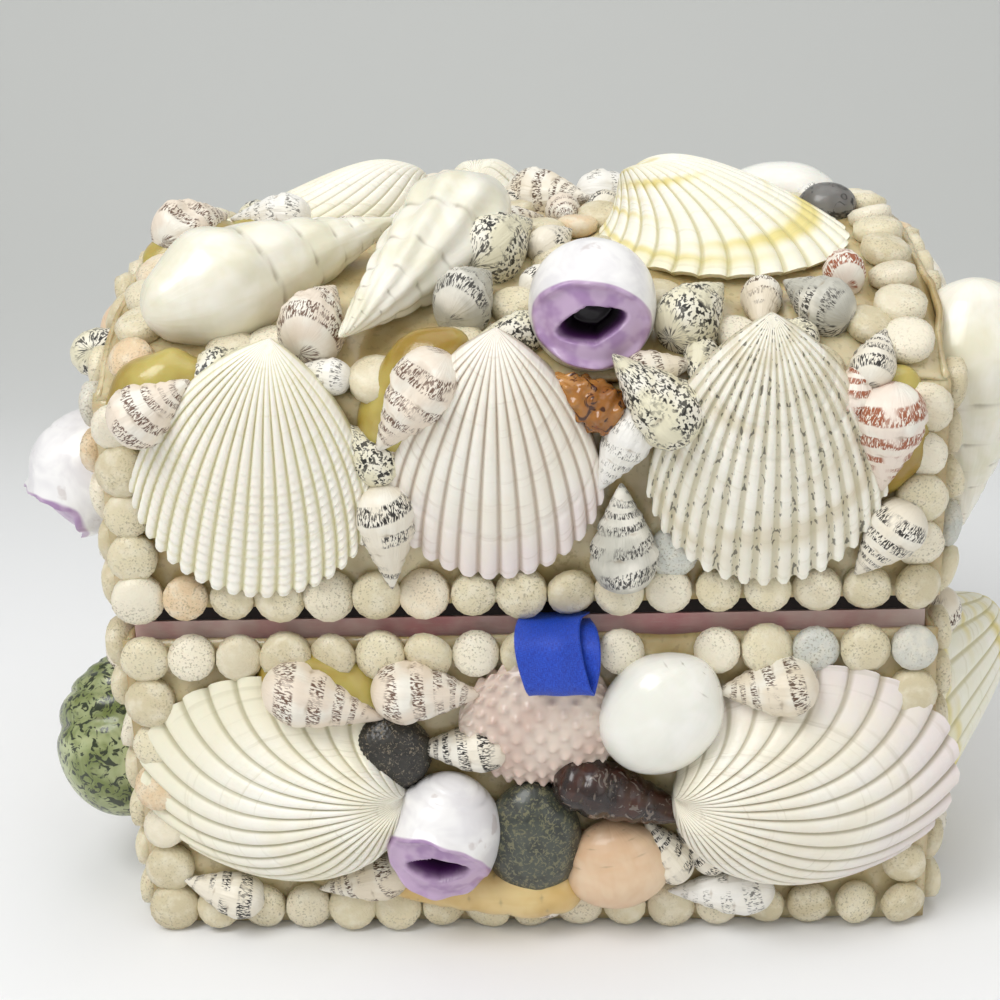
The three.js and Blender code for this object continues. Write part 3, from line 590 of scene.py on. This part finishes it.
baseShells = {
    "front": [
        ("violet_snail_low", "violet", (-16.5, 24.5), 75, 25, 22, "violet", {"height": 19, "rise": 2, "dip": 6}),
        ("moon_snail_white", "globe", (25.6, 49), 50, 26, 22, "moon", {"height": 17}),
        ("cerith_dark", "turret", (18, 31), -21, 28, 12, "cerith", {"rise": 2, "groove": 0.2, "ratio": 0.76}),
        ("nerite_dark", "globe", (0.5, 21.5), 90, 25, 19, "dark", {"height": 13}),
        ("", "nassa", (-38.3, 52.3), -20, 24, 12, "pinkDash", {"rise": 3, "amber": 1}),
        ("", "nassa", (-18.7, 53.5), -4, 21, 12, "pinkDash", {"rise": 2}),
        ("", "nassa", (45.3, 53.5), -176, 19, 11, "brownDash", {"rise": 3}),
        ("", "nassa", (-12.6, 41.2), 179, 19, 9, "blackDash", {"rise": 2}),
        ("", "nassa", (26, 18.5), 120, 15, 8.5, "blackDash", {"rise": 2}),
        ("ark_left", "ark", (-49.5, 35), -4, 52, 43, "whiteArk", {"ribs": 24, "curl": 62, "rows": 60}),
        ("ark_right", "ark", (54.5, 34.6), -176, 54, 45, "lilacArk",
         {"height": 13, "ribs": 24, "curl": -62, "rows": 60}),
        ("whelk_pimpled", "globe", (3, 46), 0, 32, 25, "pimpled",
         {"height": 9, "pimples": (17, 7, 1.25), "sides": 144, "rings": 88}),
        ("top_shell_dark", "globe", (-26.5, 40.5), 90, 16, 16, "pebbly",
         {"height": 11, "pimples": (30, 12, 0.35), "sides": 120, "rings": 64}),
        ("bonnet_snail_peach", "moon", (16.6, 16.2), 100, 19, 21, "peach", {"height": 14}),
        ("turret_tan", "turret", (-9.8, 10.4), 180, 40, 12, "tan", {}),
        ("", "nassa", (-61.8, 9.6), 161, 17, 9, "blackDash", {"rise": 1}),
        ("", "nassa", (-33.3, 11.8), -168, 19, 9, "brownDash", {"rise": 1}),
        ("", "nassa", (5, 8), 29, 13, 7, "pinkDash", {"rise": 1}),
        ("", "nassa", (37, 9), 180, 21, 9.3, "paleWhelk", {"rise": 1}),
    ],
    "right": [
        ("", "nassa", (-42, 57), -70, 17, 9, "brownDash", {}),
        ("ark_right_side", "ark", (-30, 34), 55, 46, 40, "yellowArk", {"height": 17}),
        ("ark_right_back", "ark", (22, 36), -176, 44, 36, "whiteArk", {}),
        ("", "nassa", (-40, 11), 180, 18, 10, "blackDash", {}),
        ("", "nassa", (-2, 12), 20, 18, 9, "brownDash", {}),
        ("", "nassa", (30, 11), 170, 18, 9, "pinkDash", {}),
        ("", "nassa", (2, 54), -10, 19, 10, "brownDash", {}),
    ],
    "back": [
        ("", "nassa", (0, 51), 10, 21, 11, "brownDash", {}),
        ("", "nassa", (0, 14), 175, 21, 11, "pinkDash", {}),
        ("", "nassa", (-28, 12), 20, 18, 9, "brownDash", {}),
        ("", "nassa", (29, 11), 165, 18, 9, "blackDash", {}),
        ("ark_back_left", "ark", (-42, 34), -4, 50, 42, "whiteArk", {"curl": 60}),
        ("ark_back_right", "ark", (42, 34), -176, 50, 42, "whiteArk", {"curl": -60}),
        ("moon_snail_back", "globe", (0, 32), 80, 24, 21, "moon", {"height": 15}),
    ],
    "left": [
        ("turban_green", "globe", (34, 31), 120, 35, 31, "turban",
         {"height": 29, "seam": 0.5, "ratio": 0.55, "groove": 0.12}),
        ("", "nassa", (42, 54), 200, 17, 9, "brownDash", {}),
        ("", "nassa", (18, 53), 10, 19, 10, "brownDash", {}),
        ("ark_left_side", "ark", (-14, 33), 170, 46, 38, "whiteArk", {}),
        ("", "nassa", (38, 10.5), 10, 18, 9, "blackDash", {}),
        ("", "nassa", (8, 11), 190, 18, 9, "brownDash", {}),
        ("", "nassa", (-34, 12), 160, 18, 9, "pinkDash", {}),
        ("", "nassa", (-40, 45), 100, 18, 9, "brownDash", {}),
    ],
}

lidShells = {
    "front": [
        ("", "nassa", (-18, 110.5), -128, 22.4, 12.5, "pinkDash", {"rise": 5, "amber": 1, "mouth": 0.8}),
        ("", "nassa", (24.4, 110.5), 131, 21, 12.5, "blackSpot", {"rise": 4}),
        ("", "nassa", (-24, 85), -89, 21, 11, "blackDash", {"rise": 2}),
        ("", "nassa", (18.9, 84), 91, 21, 12.5, "greyDash", {"rise": 2, "ribs": 22, "rib": 0.05}),
        ("", "nassa", (18.8, 100.5), -119, 18, 9.5, "paleWhelk", {"rise": 2}),
        ("", "nassa", (65.6, 102), -95, 20, 12.5, "redDash", {"rise": 3, "amber": 1}),
        ("", "nassa", (66, 82.4), -129, 17, 10.4, "blackDash", {"rise": 3}),
        ("", "nassa", (-64.5, 111), 33, 17, 12, "pinkDash", {"rise": 4, "amber": 0.8}),
        ("", "nassa", (60, 111), 80, 12, 7.5, "redDash", {"rise": 2}),
        ("", "nassa", (-27, 101), 129, 15, 9, "blackSpot", {}),
        ("shell_brown", "turret", (12.8, 110), 145, 15, 9, "brown",
         {"rise": 1, "pimples": (5, 3, 0.9), "sides": 80, "rings": 48}),
        ("scallop_left", "scallop", (-47.3, 98.5), 79, 49, 45, "greenScallop",
         {"ribs": 20, "raised": 4, "sharp": 1.3, "scales": 26, "columns": 8, "rows": 130}),
        ("scallop_middle", "scallop", (-4.3, 100), 86, 47, 41, "lilacScallop",
         {"ribs": 15, "raised": 3, "sharp": 1.3, "growth": (0.82,), "columns": 8, "rows": 72}),
        ("scallop_right", "scallop", (44.7, 99.8), 89, 50, 43, "speckScallop",
         {"ribs": 17, "raised": 4, "sharp": 2.2, "growth": (0.38, 0.5), "columns": 8, "rows": 90}),
    ],
    "top": [
        ("violet_snail_high", "violet", (14.2, -49), 89, 26, 23, "violet",
         {"height": 21, "rise": 2, "dip": 62}),
        ("", "nassa", (-36, -48.5), 75, 19, 12, "pinkDash", {"rise": 4}),
        ("", "nassa", (-8.3, -43), 63, 16, 11, "greyDash", {"rise": 4}),
        ("", "nassa", (-2.8, -25.5), 62, 23, 12, "blackSpot", {"rise": 3}),
        ("", "nassa", (33, -48.5), 55, 18, 12, "blackSpot", {"rise": 2}),
        ("", "nassa", (54.5, -46), 131, 16, 10, "greyDash", {"rise": 2}),
        ("", "nassa", (60.7, -36), 87, 12, 8, "redDash", {"rise": 2}),
        ("", "nassa", (5.4, 12), -41, 23, 11, "brownDash", {"rise": 2}),
        ("", "nassa", (-21, 14), -156, 24, 10, "blackDash", {"rise": 3}),
        ("", "nassa", (20, 17), -1, 19, 10, "paleWhelk", {"rise": 2}),
        ("", "nassa", (-66, -12), 60, 20, 12, "pinkDash", {"rise": 2, "amber": 1, "mouth": 0.8}),
        ("", "nassa", (-52, -4), 170, 18, 9, "paleWhelk", {"rise": 2, "amber": 0.8}),
        ("auger_long", "auger", (-45.6, -34), 37, 55, 23, "auger", {"sunk": 1, "sides": 96, "rings": 80}),
        ("auger_short", "auger", (-18, -33), -116, 58, 22, "auger",
         {"sunk": 1, "ribs": 10, "rib": 0.05, "sides": 96, "rings": 80}),
        ("top_shell_grey", "globe", (62, -4), 170, 12, 10, "grey", {"height": 9}),
        ("ark_top_right", "ark", (40, -15), 140, 50, 46, "yellowArk", {"sunk": 2, "ribs": 26, "curl": 40}),
        ("ark_top_left", "ark", (-43, 12), 5, 46, 40, "whiteArk", {"sunk": 2, "ribs": 26, "curl": 30}),
        ("egg_shell_white", "globe", (55, 22), -10, 26, 20, "moon", {"height": 14, "sunk": 1}),
        ("ark_top_back", "ark", (-8, 38), -100, 38, 34, "whiteArk", {"sunk": 2}),
        ("", "nassa", (-46, 43), 30, 20, 11, "brownDash", {}),
        ("", "nassa", (26, 42), 150, 20, 11, "blackDash", {}),
        ("", "nassa", (52, 44), 60, 18, 10, "pinkDash", {}),
    ],
    "right": [
        ("auger_right_side", "auger", (-35, 99), -88, 50, 24, "auger",
         {"height": 27, "sides": 88, "rings": 72}),
        ("scallop_right_side", "scallop", (2, 100), 90, 46, 42, "speckScallop", {}),
        ("moon_snail_right", "globe", (35, 90), 60, 24, 21, "moon", {"height": 15}),
        ("", "nassa", (36, 108), 120, 17, 9, "brownDash", {}),
        ("", "nassa", (-18, 80), 10, 17, 9, "blackDash", {}),
    ],
    "back": [
        ("", "nassa", (-24, 87), -90, 21, 11, "blackDash", {}),
        ("", "nassa", (24, 87), -90, 21, 11, "brownDash", {}),
        ("", "nassa", (-24, 108), 120, 18, 10, "pinkDash", {"rise": 1}),
        ("", "nassa", (24, 108), 60, 18, 10, "blackDash", {"rise": 1}),
        ("scallop_back_left", "scallop", (-47, 98), 90, 46, 43, "greenScallop", {}),
        ("scallop_back_middle", "scallop", (0, 98), 90, 46, 43, "lilacScallop", {}),
        ("scallop_back_right", "scallop", (47, 98), 90, 46, 43, "speckScallop", {}),
    ],
    "left": [
        ("violet_snail_left", "violet", (38, 91), 100, 25, 23, "violet", {"height": 25}),
        ("", "nassa", (33, 113), 200, 18, 10, "blackSpot", {"rise": 2}),
        ("moon_snail_peach", "globe", (20, 114), 60, 15, 13, "peach", {"height": 10}),
        ("scallop_left_side", "scallop", (-2, 97), 90, 46, 42, "lilacScallop", {}),
        ("", "nassa", (44, 77), 10, 17, 9, "brownDash", {}),
        ("", "nassa", (-35, 84), 100, 18, 9, "pinkDash", {}),
        ("", "nassa", (-32, 104), 60, 18, 9, "brownDash", {}),
    ],
}


def makeShell(row, wall):
    name, kind, spot, turn, length, width, finish, more = row
    sizes = {key: value for key, value in more.items() if key not in ("sunk", "amber")}
    label = "shell_" + (name or "whelk")
    if kind == "violet":
        shell = violetSnail(label, length, width, **sizes)
    elif kind in valveForms:
        shell = valve(label, kind, length, width, **sizes)
    else:
        finer = {} if kind == "nassa" else {"sides": 72, "rings": 50}
        shell = coiledShell(label, kind, length, width, **{**finer, **sizes})
    shell.data.transform(toMetres @ placeOn(wall, spot, turn, shellSeat - more.get("sunk", 0)))
    shell.data.materials.append(finishes[finish])
    return shell


# Bead shells: button tops in rows along every wall's edges.

beads = {
    "radius": 4.6, "pitch": 9.1, "foot": 1.6, "fullness": 1.03,
    "corner": 72.5, "side": 51,  # the columns' distance from the middle of a wall
    "rows": (5.2, 60), "lidRow": 72.4, "archInset": 5,
    "tilt": 26, "unevenness": 0.09, "flatTop": 0.78,
}


def steps(start, end):
    count = round(abs(end - start) / beads["pitch"])
    return [start + (end - start) * i / count for i in range(count + 1)]


def beadPlaces(part, wall):
    side = beads["corner"] if wallOut.get(wall) == halfDepth else beads["side"]
    if wall == "top":
        end = archHalf - beads["archInset"]
        edge = halfWidth - beads["archInset"]
        return [(across, along) for along in steps(-end, end) for across in (-edge, edge)]
    if part == "base":
        low, high = beads["rows"]
        rows = [(across, up) for up in beads["rows"] for across in steps(-side, side)]
        return rows + [(across, up) for up in steps(low, high)[1:-1] for across in (-side, side)]
    row = [(across, beads["lidRow"]) for across in steps(-side, side)]
    if wall in ("front", "back"):
        column = steps(beads["lidRow"], case["lidSpring"] - beads["radius"])[1:]
        return row + [(across, up) for up in column for across in (-side, side)]
    radius = archRadius - beads["archInset"]
    span = math.asin(side / radius) * radius
    arch = [(radius * math.sin(along / radius), archCentre + radius * math.cos(along / radius))
            for along in steps(-span, span)]
    column = steps(beads["lidRow"], arch[0][1])[1:-1]
    return row + [(across, up) for up in column for across in (-side, side)] + arch


def firstBead():
    bead = newPiece(bpy.ops.mesh.primitive_uv_sphere_add, "bead", segments=16, ring_count=5, radius=1)
    x, y, z = spotsOf(bead)
    dome = np.where(z > 0, 0.66 * beads["flatTop"] * np.sqrt(np.abs(z)) * np.sign(z), 0.5 * z)
    size = beads["radius"] * beads["fullness"]
    plump = np.maximum(np.hypot(x, y), 0.05) ** -0.25
    putSpots(bead, x * plump * size, y * plump * size, dome * size)
    smooth(bead)
    bead.data.materials.append(finishes["bead"])
    return bead


def outsideOf(spot, row, grow=0):  # how far a spot is past a shell's outline, 1 on the line
    name, kind, centre, turn, length, width = row[:6]
    angle = math.radians(turn - 90)
    dx, dy = spot[0] - centre[0], spot[1] - centre[1]
    across = dx * np.cos(angle) + dy * np.sin(angle)
    along = dy * np.cos(angle) - dx * np.sin(angle)
    return np.hypot(across / (width / 2 + grow), along / (length / 2 + grow))


def dropBead(sample, wall, spot):
    bead = sample.copy()
    bead.data = sample.data.copy()
    bpy.context.collection.objects.link(bead)
    size = 1 + chance.uniform(-1, 1) * beads["unevenness"]
    lean = Matrix.Rotation(math.radians(chance.uniform(-1, 1) * beads["tilt"]), 4, "X")
    spin = Matrix.Rotation(chance.uniform(0, math.tau), 4, "Z")
    place = placeOn(wall, spot, 90, beads["foot"] + 2.1)
    bead.data.transform(toMetres @ place @ spin @ lean @ Matrix.Scale(size, 4))
    keepValues(bead, "tone", chance.random())
    return bead


def placeBeads(part, wall, rows, sample):
    placed = []
    for spot in beadPlaces(part, wall):
        if any(outsideOf(spot, row, -3.2 if row[1] in valveForms else -1) < 1 for row in rows):
            continue
        placed.append(dropBead(sample, wall, spot))
    return placed


# The gaps between the shells, filled with more beads and with the smallest whelks

fillers = {
    "grid": 2.6, "jitter": 1.2, "clear": 1.8, "apart": 7.3, "edge": 6,
    "whelkShare": 0.45, "length": (11, 14.5), "slimness": 0.58,
    "finishes": ("brownDash", "pinkDash", "blackDash", "blackSpot", "paleWhelk"),
}


def fillGaps(part, wall, rows, sample):
    look = fillers
    side = (halfDepth if wallOut.get(wall) == halfWidth else halfWidth) - look["edge"]
    low, high = beads["rows"] if part == "base" else (beads["lidRow"], case["lidSpring"] + 1)
    if wall == "top":
        low, high = -archHalf, archHalf
    elif part == "lid" and wall in ("left", "right"):
        high = case["lidSpring"] + case["lidRise"]
    taken = beadPlaces(part, wall)
    made = []
    for along in np.arange(low, high, look["grid"]):
        for across in np.arange(-side, side, look["grid"]):
            spot = (across + chance.uniform(-1, 1) * look["jitter"], along + chance.uniform(-1, 1) * look["jitter"])
            if wall != "top" and math.hypot(spot[0], max(spot[1] - archCentre, 0)) > archRadius - look["edge"]:
                continue
            if any(outsideOf(spot, row, look["clear"]) < 1 for row in rows):
                continue
            if min(math.dist(spot, other) for other in taken) < look["apart"]:
                continue
            taken.append(spot)
            if chance.random() < look["whelkShare"]:
                length = chance.uniform(*look["length"])
                made.append(makeShell(("", "nassa", spot, chance.uniform(0, 360), length, length * look["slimness"],
                                       chance.choice(look["finishes"]), {"sides": 28, "rings": 22}), wall))
            else:
                made.append(dropBead(sample, wall, spot))
    return made


# Glue: an uneven bed on every wall, drawn up against the shells, and amber pools round some whelks.

glueBeds = {
    "grid": 1.8, "thickness": 1.1, "fillet": 1.5, "filletWidth": 1.8,
    "unevenness": 0.3, "overhang": 1.9, "lap": 1.5, "cornerLap": 1.1,
    "rowEdge": 2.8,  # past the middle of the rows beside the opening
}


def glueBed(part, wall, rows):
    look = glueBeds
    if wall == "top":
        reach = halfWidth + look["overhang"]
        low, high = -(archHalf + look["lap"]), archHalf + look["lap"]
    else:
        onFront = wallOut[wall] == halfDepth
        reach = halfWidth + case["bedTop"] if onFront else halfDepth + look["cornerLap"]
        high = beads["rows"][1] + look["rowEdge"]
        low = case["gap"]
        if part == "lid":
            low = beads["lidRow"] - look["rowEdge"]
            high = case["lidSpring"] + 0.8
    bed = newPiece(bpy.ops.mesh.primitive_grid_add, part + "_" + wall + "_glue",
                   x_subdivisions=round(2 * reach / look["grid"]),
                   y_subdivisions=round((high - low) / look["grid"]), size=2)
    x, y, z = spotsOf(bed)
    across = x * reach
    top = high
    if part == "lid" and wall in ("left", "right"):
        top = archCentre + np.sqrt((archRadius + look["overhang"] - 0.7) ** 2 - across ** 2)
    along = low + (y + 1) / 2 * (top - low)
    seed = len(part) + 10 * len(wall)
    out = case["bedTop"] - 0.4 + look["unevenness"] * (
        ripple(across, along, 11, seed) + 0.6 * ripple(across, along, 4.5, seed + 1))
    lift = 0
    for row in rows:
        far = (outsideOf((across, along), row) - 1) * min(row[4], row[5]) / 2
        lift = np.maximum(lift, np.exp(-np.clip(far, 0, None) / look["filletWidth"]))
    out = out + look["fillet"] * lift
    if wall == "top":  # the edges round over to meet the walls' glue
        out = out - 1.4 * easeStep(np.abs(across), halfWidth - 1, reach)
    elif part == "lid" and onFront:
        out = out - 1.6 * easeStep(along, case["lidSpring"] - 1, high)
    if wall == "top":
        angle = along / archRadius
        putSpots(bed, across, (archRadius + out) * np.sin(angle),
                 archCentre + (archRadius + out) * np.cos(angle))
    else:
        putSpots(bed, across, along, out)
        bed.data.transform(wallMatrix(wall))
    keepValues(bed, "amber", 0)
    select(bed)
    wallThickness = bed.modifiers.new("thickness", "SOLIDIFY")
    wallThickness.thickness = look["thickness"]
    wallThickness.offset = -1
    bpy.ops.object.modifier_apply(modifier=wallThickness.name)
    smooth(bed)
    bed.data.transform(toMetres)
    bed.data.materials.append(finishes["glue"])
    return bed


amberPools = {"reach": 2.3, "share": 0.42, "unevenness": 0.1}  # share of the whelk's height


def amberPool(row, wall):
    name, kind, spot, turn, length, width, finish, more = row
    look = amberPools
    pool = newPiece(bpy.ops.mesh.primitive_uv_sphere_add, "amber", segments=48, ring_count=20, radius=1)
    x, y, z = spotsOf(pool)
    swell = 1 + look["unevenness"] * ripple(x, y, 1.2, round(length * width))
    putSpots(pool, x * (width / 2 + look["reach"]) * swell, y * (length / 2 + look["reach"]) * swell,
             z * look["share"] * (width + more["rise"]))
    smooth(pool)
    keepValues(pool, "amber", 1)
    pool.data.transform(toMetres @ placeOn(wall, spot, turn, case["bedTop"]))
    pool.data.materials.append(finishes["glue"])
    return pool


def standFor(piece, node):
    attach(piece, "root")
    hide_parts(node)


def joinPieces(pieces, name):
    select(*pieces)
    bpy.ops.object.join()
    pieces[0].name = name
    return pieces[0]


def dressWalls(part, walls, sample):
    for wall, rows in walls.items():
        small = [makeShell(row, wall) for row in rows if not row[0]]
        small = small + [amberPool(row, wall) for row in rows if "amber" in row[7]]
        small = small + fillGaps(part, wall, rows, sample)
        for row in rows:
            if row[0]:
                standFor(makeShell(row, wall), row[0])
        bed = glueBed(part, wall, rows)
        border = placeBeads(part, wall, rows, sample)
        node = part + "_" + wall + "_shellwork"
        standFor(joinPieces([bed, *small, *border], "shells_on_" + part + "_" + wall), node)
        print(part, wall, "done:", len(border), "beads and", len(rows), "shells")


sampleBead = firstBead()
dressWalls("base", baseShells, sampleBead)
dressWalls("lid", lidShells, sampleBead)
bpy.data.objects.remove(sampleBead)


# The covered board of the base and the lid

def paperFinish(name, outside, rimHeight):
    paper = newMaterial(name, 0.85)
    spots = objectSpots(paper)
    cloudy = clouds(paper, spots, 45, 4.0, 0.65)
    fibres = clouds(paper, stretched(paper, spots, (1, 1, 6)), 420, 3.0, 0.6)
    colour = mixed(paper, between(paper, cloudy, 0.3, 0.7), outside, tint(206, 186, 180))
    colour = mixed(paper, sums(paper, "MULTIPLY", between(paper, fibres, 0.5, 0.75), 0.3), colour,
                   tint(210, 190, 180))
    height = addNode(paper, "ShaderNodeSeparateXYZ", {0: spots}).outputs["Z"]
    # painted shadow: the lid's lowest 4 to 5.5 mm, in the slit under its bead row, are painted near-black; the
    # base, with rimHeight -1, gets none
    shade = between(paper, height, rimHeight + 0.0055, rimHeight + 0.004)
    feed(paper, "Base Color", mixed(paper, shade, colour, tint(30, 22, 22)))
    relief(paper, fibres, 0.0002, 0.4)
    return paper


for node, rimHeight in (("base_box", -1), ("lid_box", (case["baseHeight"] + case["gap"]) / 1000)):
    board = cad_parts[node]
    board.data.materials.clear()
    board.data.materials.append(paperFinish(node + "_paper", tint(190, 132, 134), rimHeight))


# The ribbon: a satin loop out of the slit, down in front of the beads and back up behind.

ribbon = {
    "width": 12, "length": 40, "thickness": 0.3, "middle": 6.5,
    "path": [(-56.8, 66.9), (-63, 67), (-67.6, 65), (-69, 60), (-68.6, 56), (-67.6, 55),
             (-66.6, 56), (-66.2, 60), (-64.8, 63.8), (-62, 65.4), (-56.8, 65.4)],
    "sway": 1.9,  # the front half hangs to the left and the back half to the right
    "turnedEdge": 2.4,
}


def satinFinish():
    satin = newMaterial("satin", 0.38, Sheen_Weight=0.5, Sheen_Roughness=0.35)
    shader = satin.node_tree.nodes["Principled BSDF"]
    shader.inputs["Sheen Tint"].default_value = tint(150, 180, 255)
    shader.inputs["Anisotropic"].default_value = 0.5
    cloth = keptValue(satin, "cloth")
    threads = clouds(satin, stretched(satin, cloth, (1, 0.08, 1)), 13.0, 2.0)
    weft = clouds(satin, stretched(satin, cloth, (0.1, 1, 1)), 15.0, 2.0)
    weave = sums(satin, "ADD", threads, weft)
    colour = mixed(satin, between(satin, weave, 0.8, 1.2), tint(16, 46, 158), tint(36, 84, 206))
    feed(satin, "Base Color", colour)
    relief(satin, weave, 0.00015, 0.5)
    return satin


def ribbonLoop():
    look = ribbon
    band = newPiece(bpy.ops.mesh.primitive_grid_add, "satin_loop", x_subdivisions=24, y_subdivisions=110, size=2)
    x, y, z = spotsOf(band)
    route = np.array(look["path"])
    pace = np.concatenate([[0], np.cumsum(np.hypot(*np.diff(route, axis=0).T))])
    pace = pace / pace[-1]
    along = (1 - y) / 2
    depth = smoothCurve(list(zip(pace, route[:, 0])), along)
    height = smoothCurve(list(zip(pace, route[:, 1])), along)
    front = np.sin(math.pi * np.clip(along / 0.5, 0, 1))
    back = np.sin(math.pi * np.clip((along - 0.5) / 0.5, 0, 1))
    across = look["middle"] + x * look["width"] / 2 + look["sway"] * (back - front)
    crease = np.clip(x - 0.35, 0, None) * look["turnedEdge"] * front
    depth = depth + crease - 0.9 * back * np.clip(x, 0, 1) + 0.25 * np.sin(5 * x + 9 * along)
    putSpots(band, across, depth, height + 0.5 * front * x * x)
    keepValues(band, "cloth", x * look["width"] / 2, along * look["length"], 0)
    select(band)
    cloth = band.modifiers.new("cloth", "SOLIDIFY")
    cloth.thickness = look["thickness"]
    cloth.offset = 0
    bpy.ops.object.modifier_apply(modifier=cloth.name)
    smooth(band)
    band.data.transform(toMetres)
    band.data.materials.append(satinFinish())
    return band


loop = ribbonLoop()
standFor(loop, "ribbon_loop")
print("ribbon done")


# Studio

studio = {
    "floorWidth": 12.0, "floorDepth": 9.0, "backWall": 0.62, "wallHeight": 1.5,
    "floor": tint(240, 241, 243), "wall": tint(196, 198, 196),
}


def backdrop():
    sweep = newPiece(bpy.ops.mesh.primitive_plane_add, "backdrop", size=1)
    x, y, z = spotsOf(sweep)
    putSpots(sweep, x * studio["floorWidth"], (y + 0.5) * studio["floorDepth"] + studio["backWall"]
             - studio["floorDepth"], z)
    bpy.ops.object.mode_set(mode="EDIT")
    bpy.ops.mesh.select_mode(type="EDGE")
    bpy.ops.mesh.select_all(action="DESELECT")
    bpy.ops.object.mode_set(mode="OBJECT")
    spots = sweep.data.vertices
    for edge in sweep.data.edges:
        edge.select = all(spots[i].co.y > studio["backWall"] - 0.01 for i in edge.vertices)
    bpy.ops.object.mode_set(mode="EDIT")
    bpy.ops.mesh.extrude_region_move(TRANSFORM_OT_translate={"value": (0, 0.1, studio["wallHeight"])})
    bpy.ops.object.mode_set(mode="OBJECT")
    bend = sweep.modifiers.new("bend", "BEVEL")
    bend.width = 0.3
    bend.segments = 24
    bend.limit_method = "ANGLE"
    bpy.ops.object.modifier_apply(modifier=bend.name)
    smooth(sweep)
    paper = newMaterial("backdropPaper", 0.8)
    depth = addNode(paper, "ShaderNodeSeparateXYZ", {0: objectSpots(paper)}).outputs["Y"]
    feed(paper, "Base Color", mixed(paper, between(paper, depth, 0.0, 0.5), studio["floor"], studio["wall"]))
    sweep.data.materials.append(paper)


def softLight(name, place, target, size, power):
    light = bpy.data.lights.new(name, "AREA")
    light.size = size
    light.energy = power
    lamp = bpy.data.objects.new(name, light)
    bpy.context.collection.objects.link(lamp)
    lamp.location = place
    lamp.rotation_euler = (Vector(target) - Vector(place)).to_track_quat("-Z", "Y").to_euler()


backdrop()
softLight("key", (-0.4, -0.45, 0.85), (0, 0, 0.07), 0.5, 5.0)
softLight("fill", (0.7, -0.7, 0.5), (0, 0, 0.07), 0.7, 1.2)
softLight("over", (0.1, 0.1, 1.0), (0, 0, 0.1), 0.8, 2.2)
world = bpy.data.worlds.new("studio")
world.use_nodes = True
world.node_tree.nodes["Background"].inputs[0].default_value = (1, 0.99, 0.97, 1)
world.node_tree.nodes["Background"].inputs[1].default_value = 0.52
bpy.context.scene.world = world
bpy.context.scene.view_settings.view_transform = "Standard"

view = {
    "spot": (0.0149, -0.3421, 0.1906), "lens": 59.21,
    "down": 19.46, "left": 3.7, "roll": 2.43,
}


def setCamera():
    camera = bpy.data.objects.new("camera", bpy.data.cameras.new("camera"))
    bpy.context.collection.objects.link(camera)
    camera.data.lens = view["lens"]
    camera.data.sensor_width = 36
    camera.data.clip_start = 0.01
    camera.matrix_world = (
        Matrix.Translation(view["spot"])
        @ Matrix.Rotation(math.radians(view["left"]), 4, "Z")
        @ Matrix.Rotation(math.radians(90 - view["down"]), 4, "X")
        @ Matrix.Rotation(math.radians(-view["roll"]), 4, "Z"))
    bpy.context.scene.camera = camera


setCamera()
print("studio done")
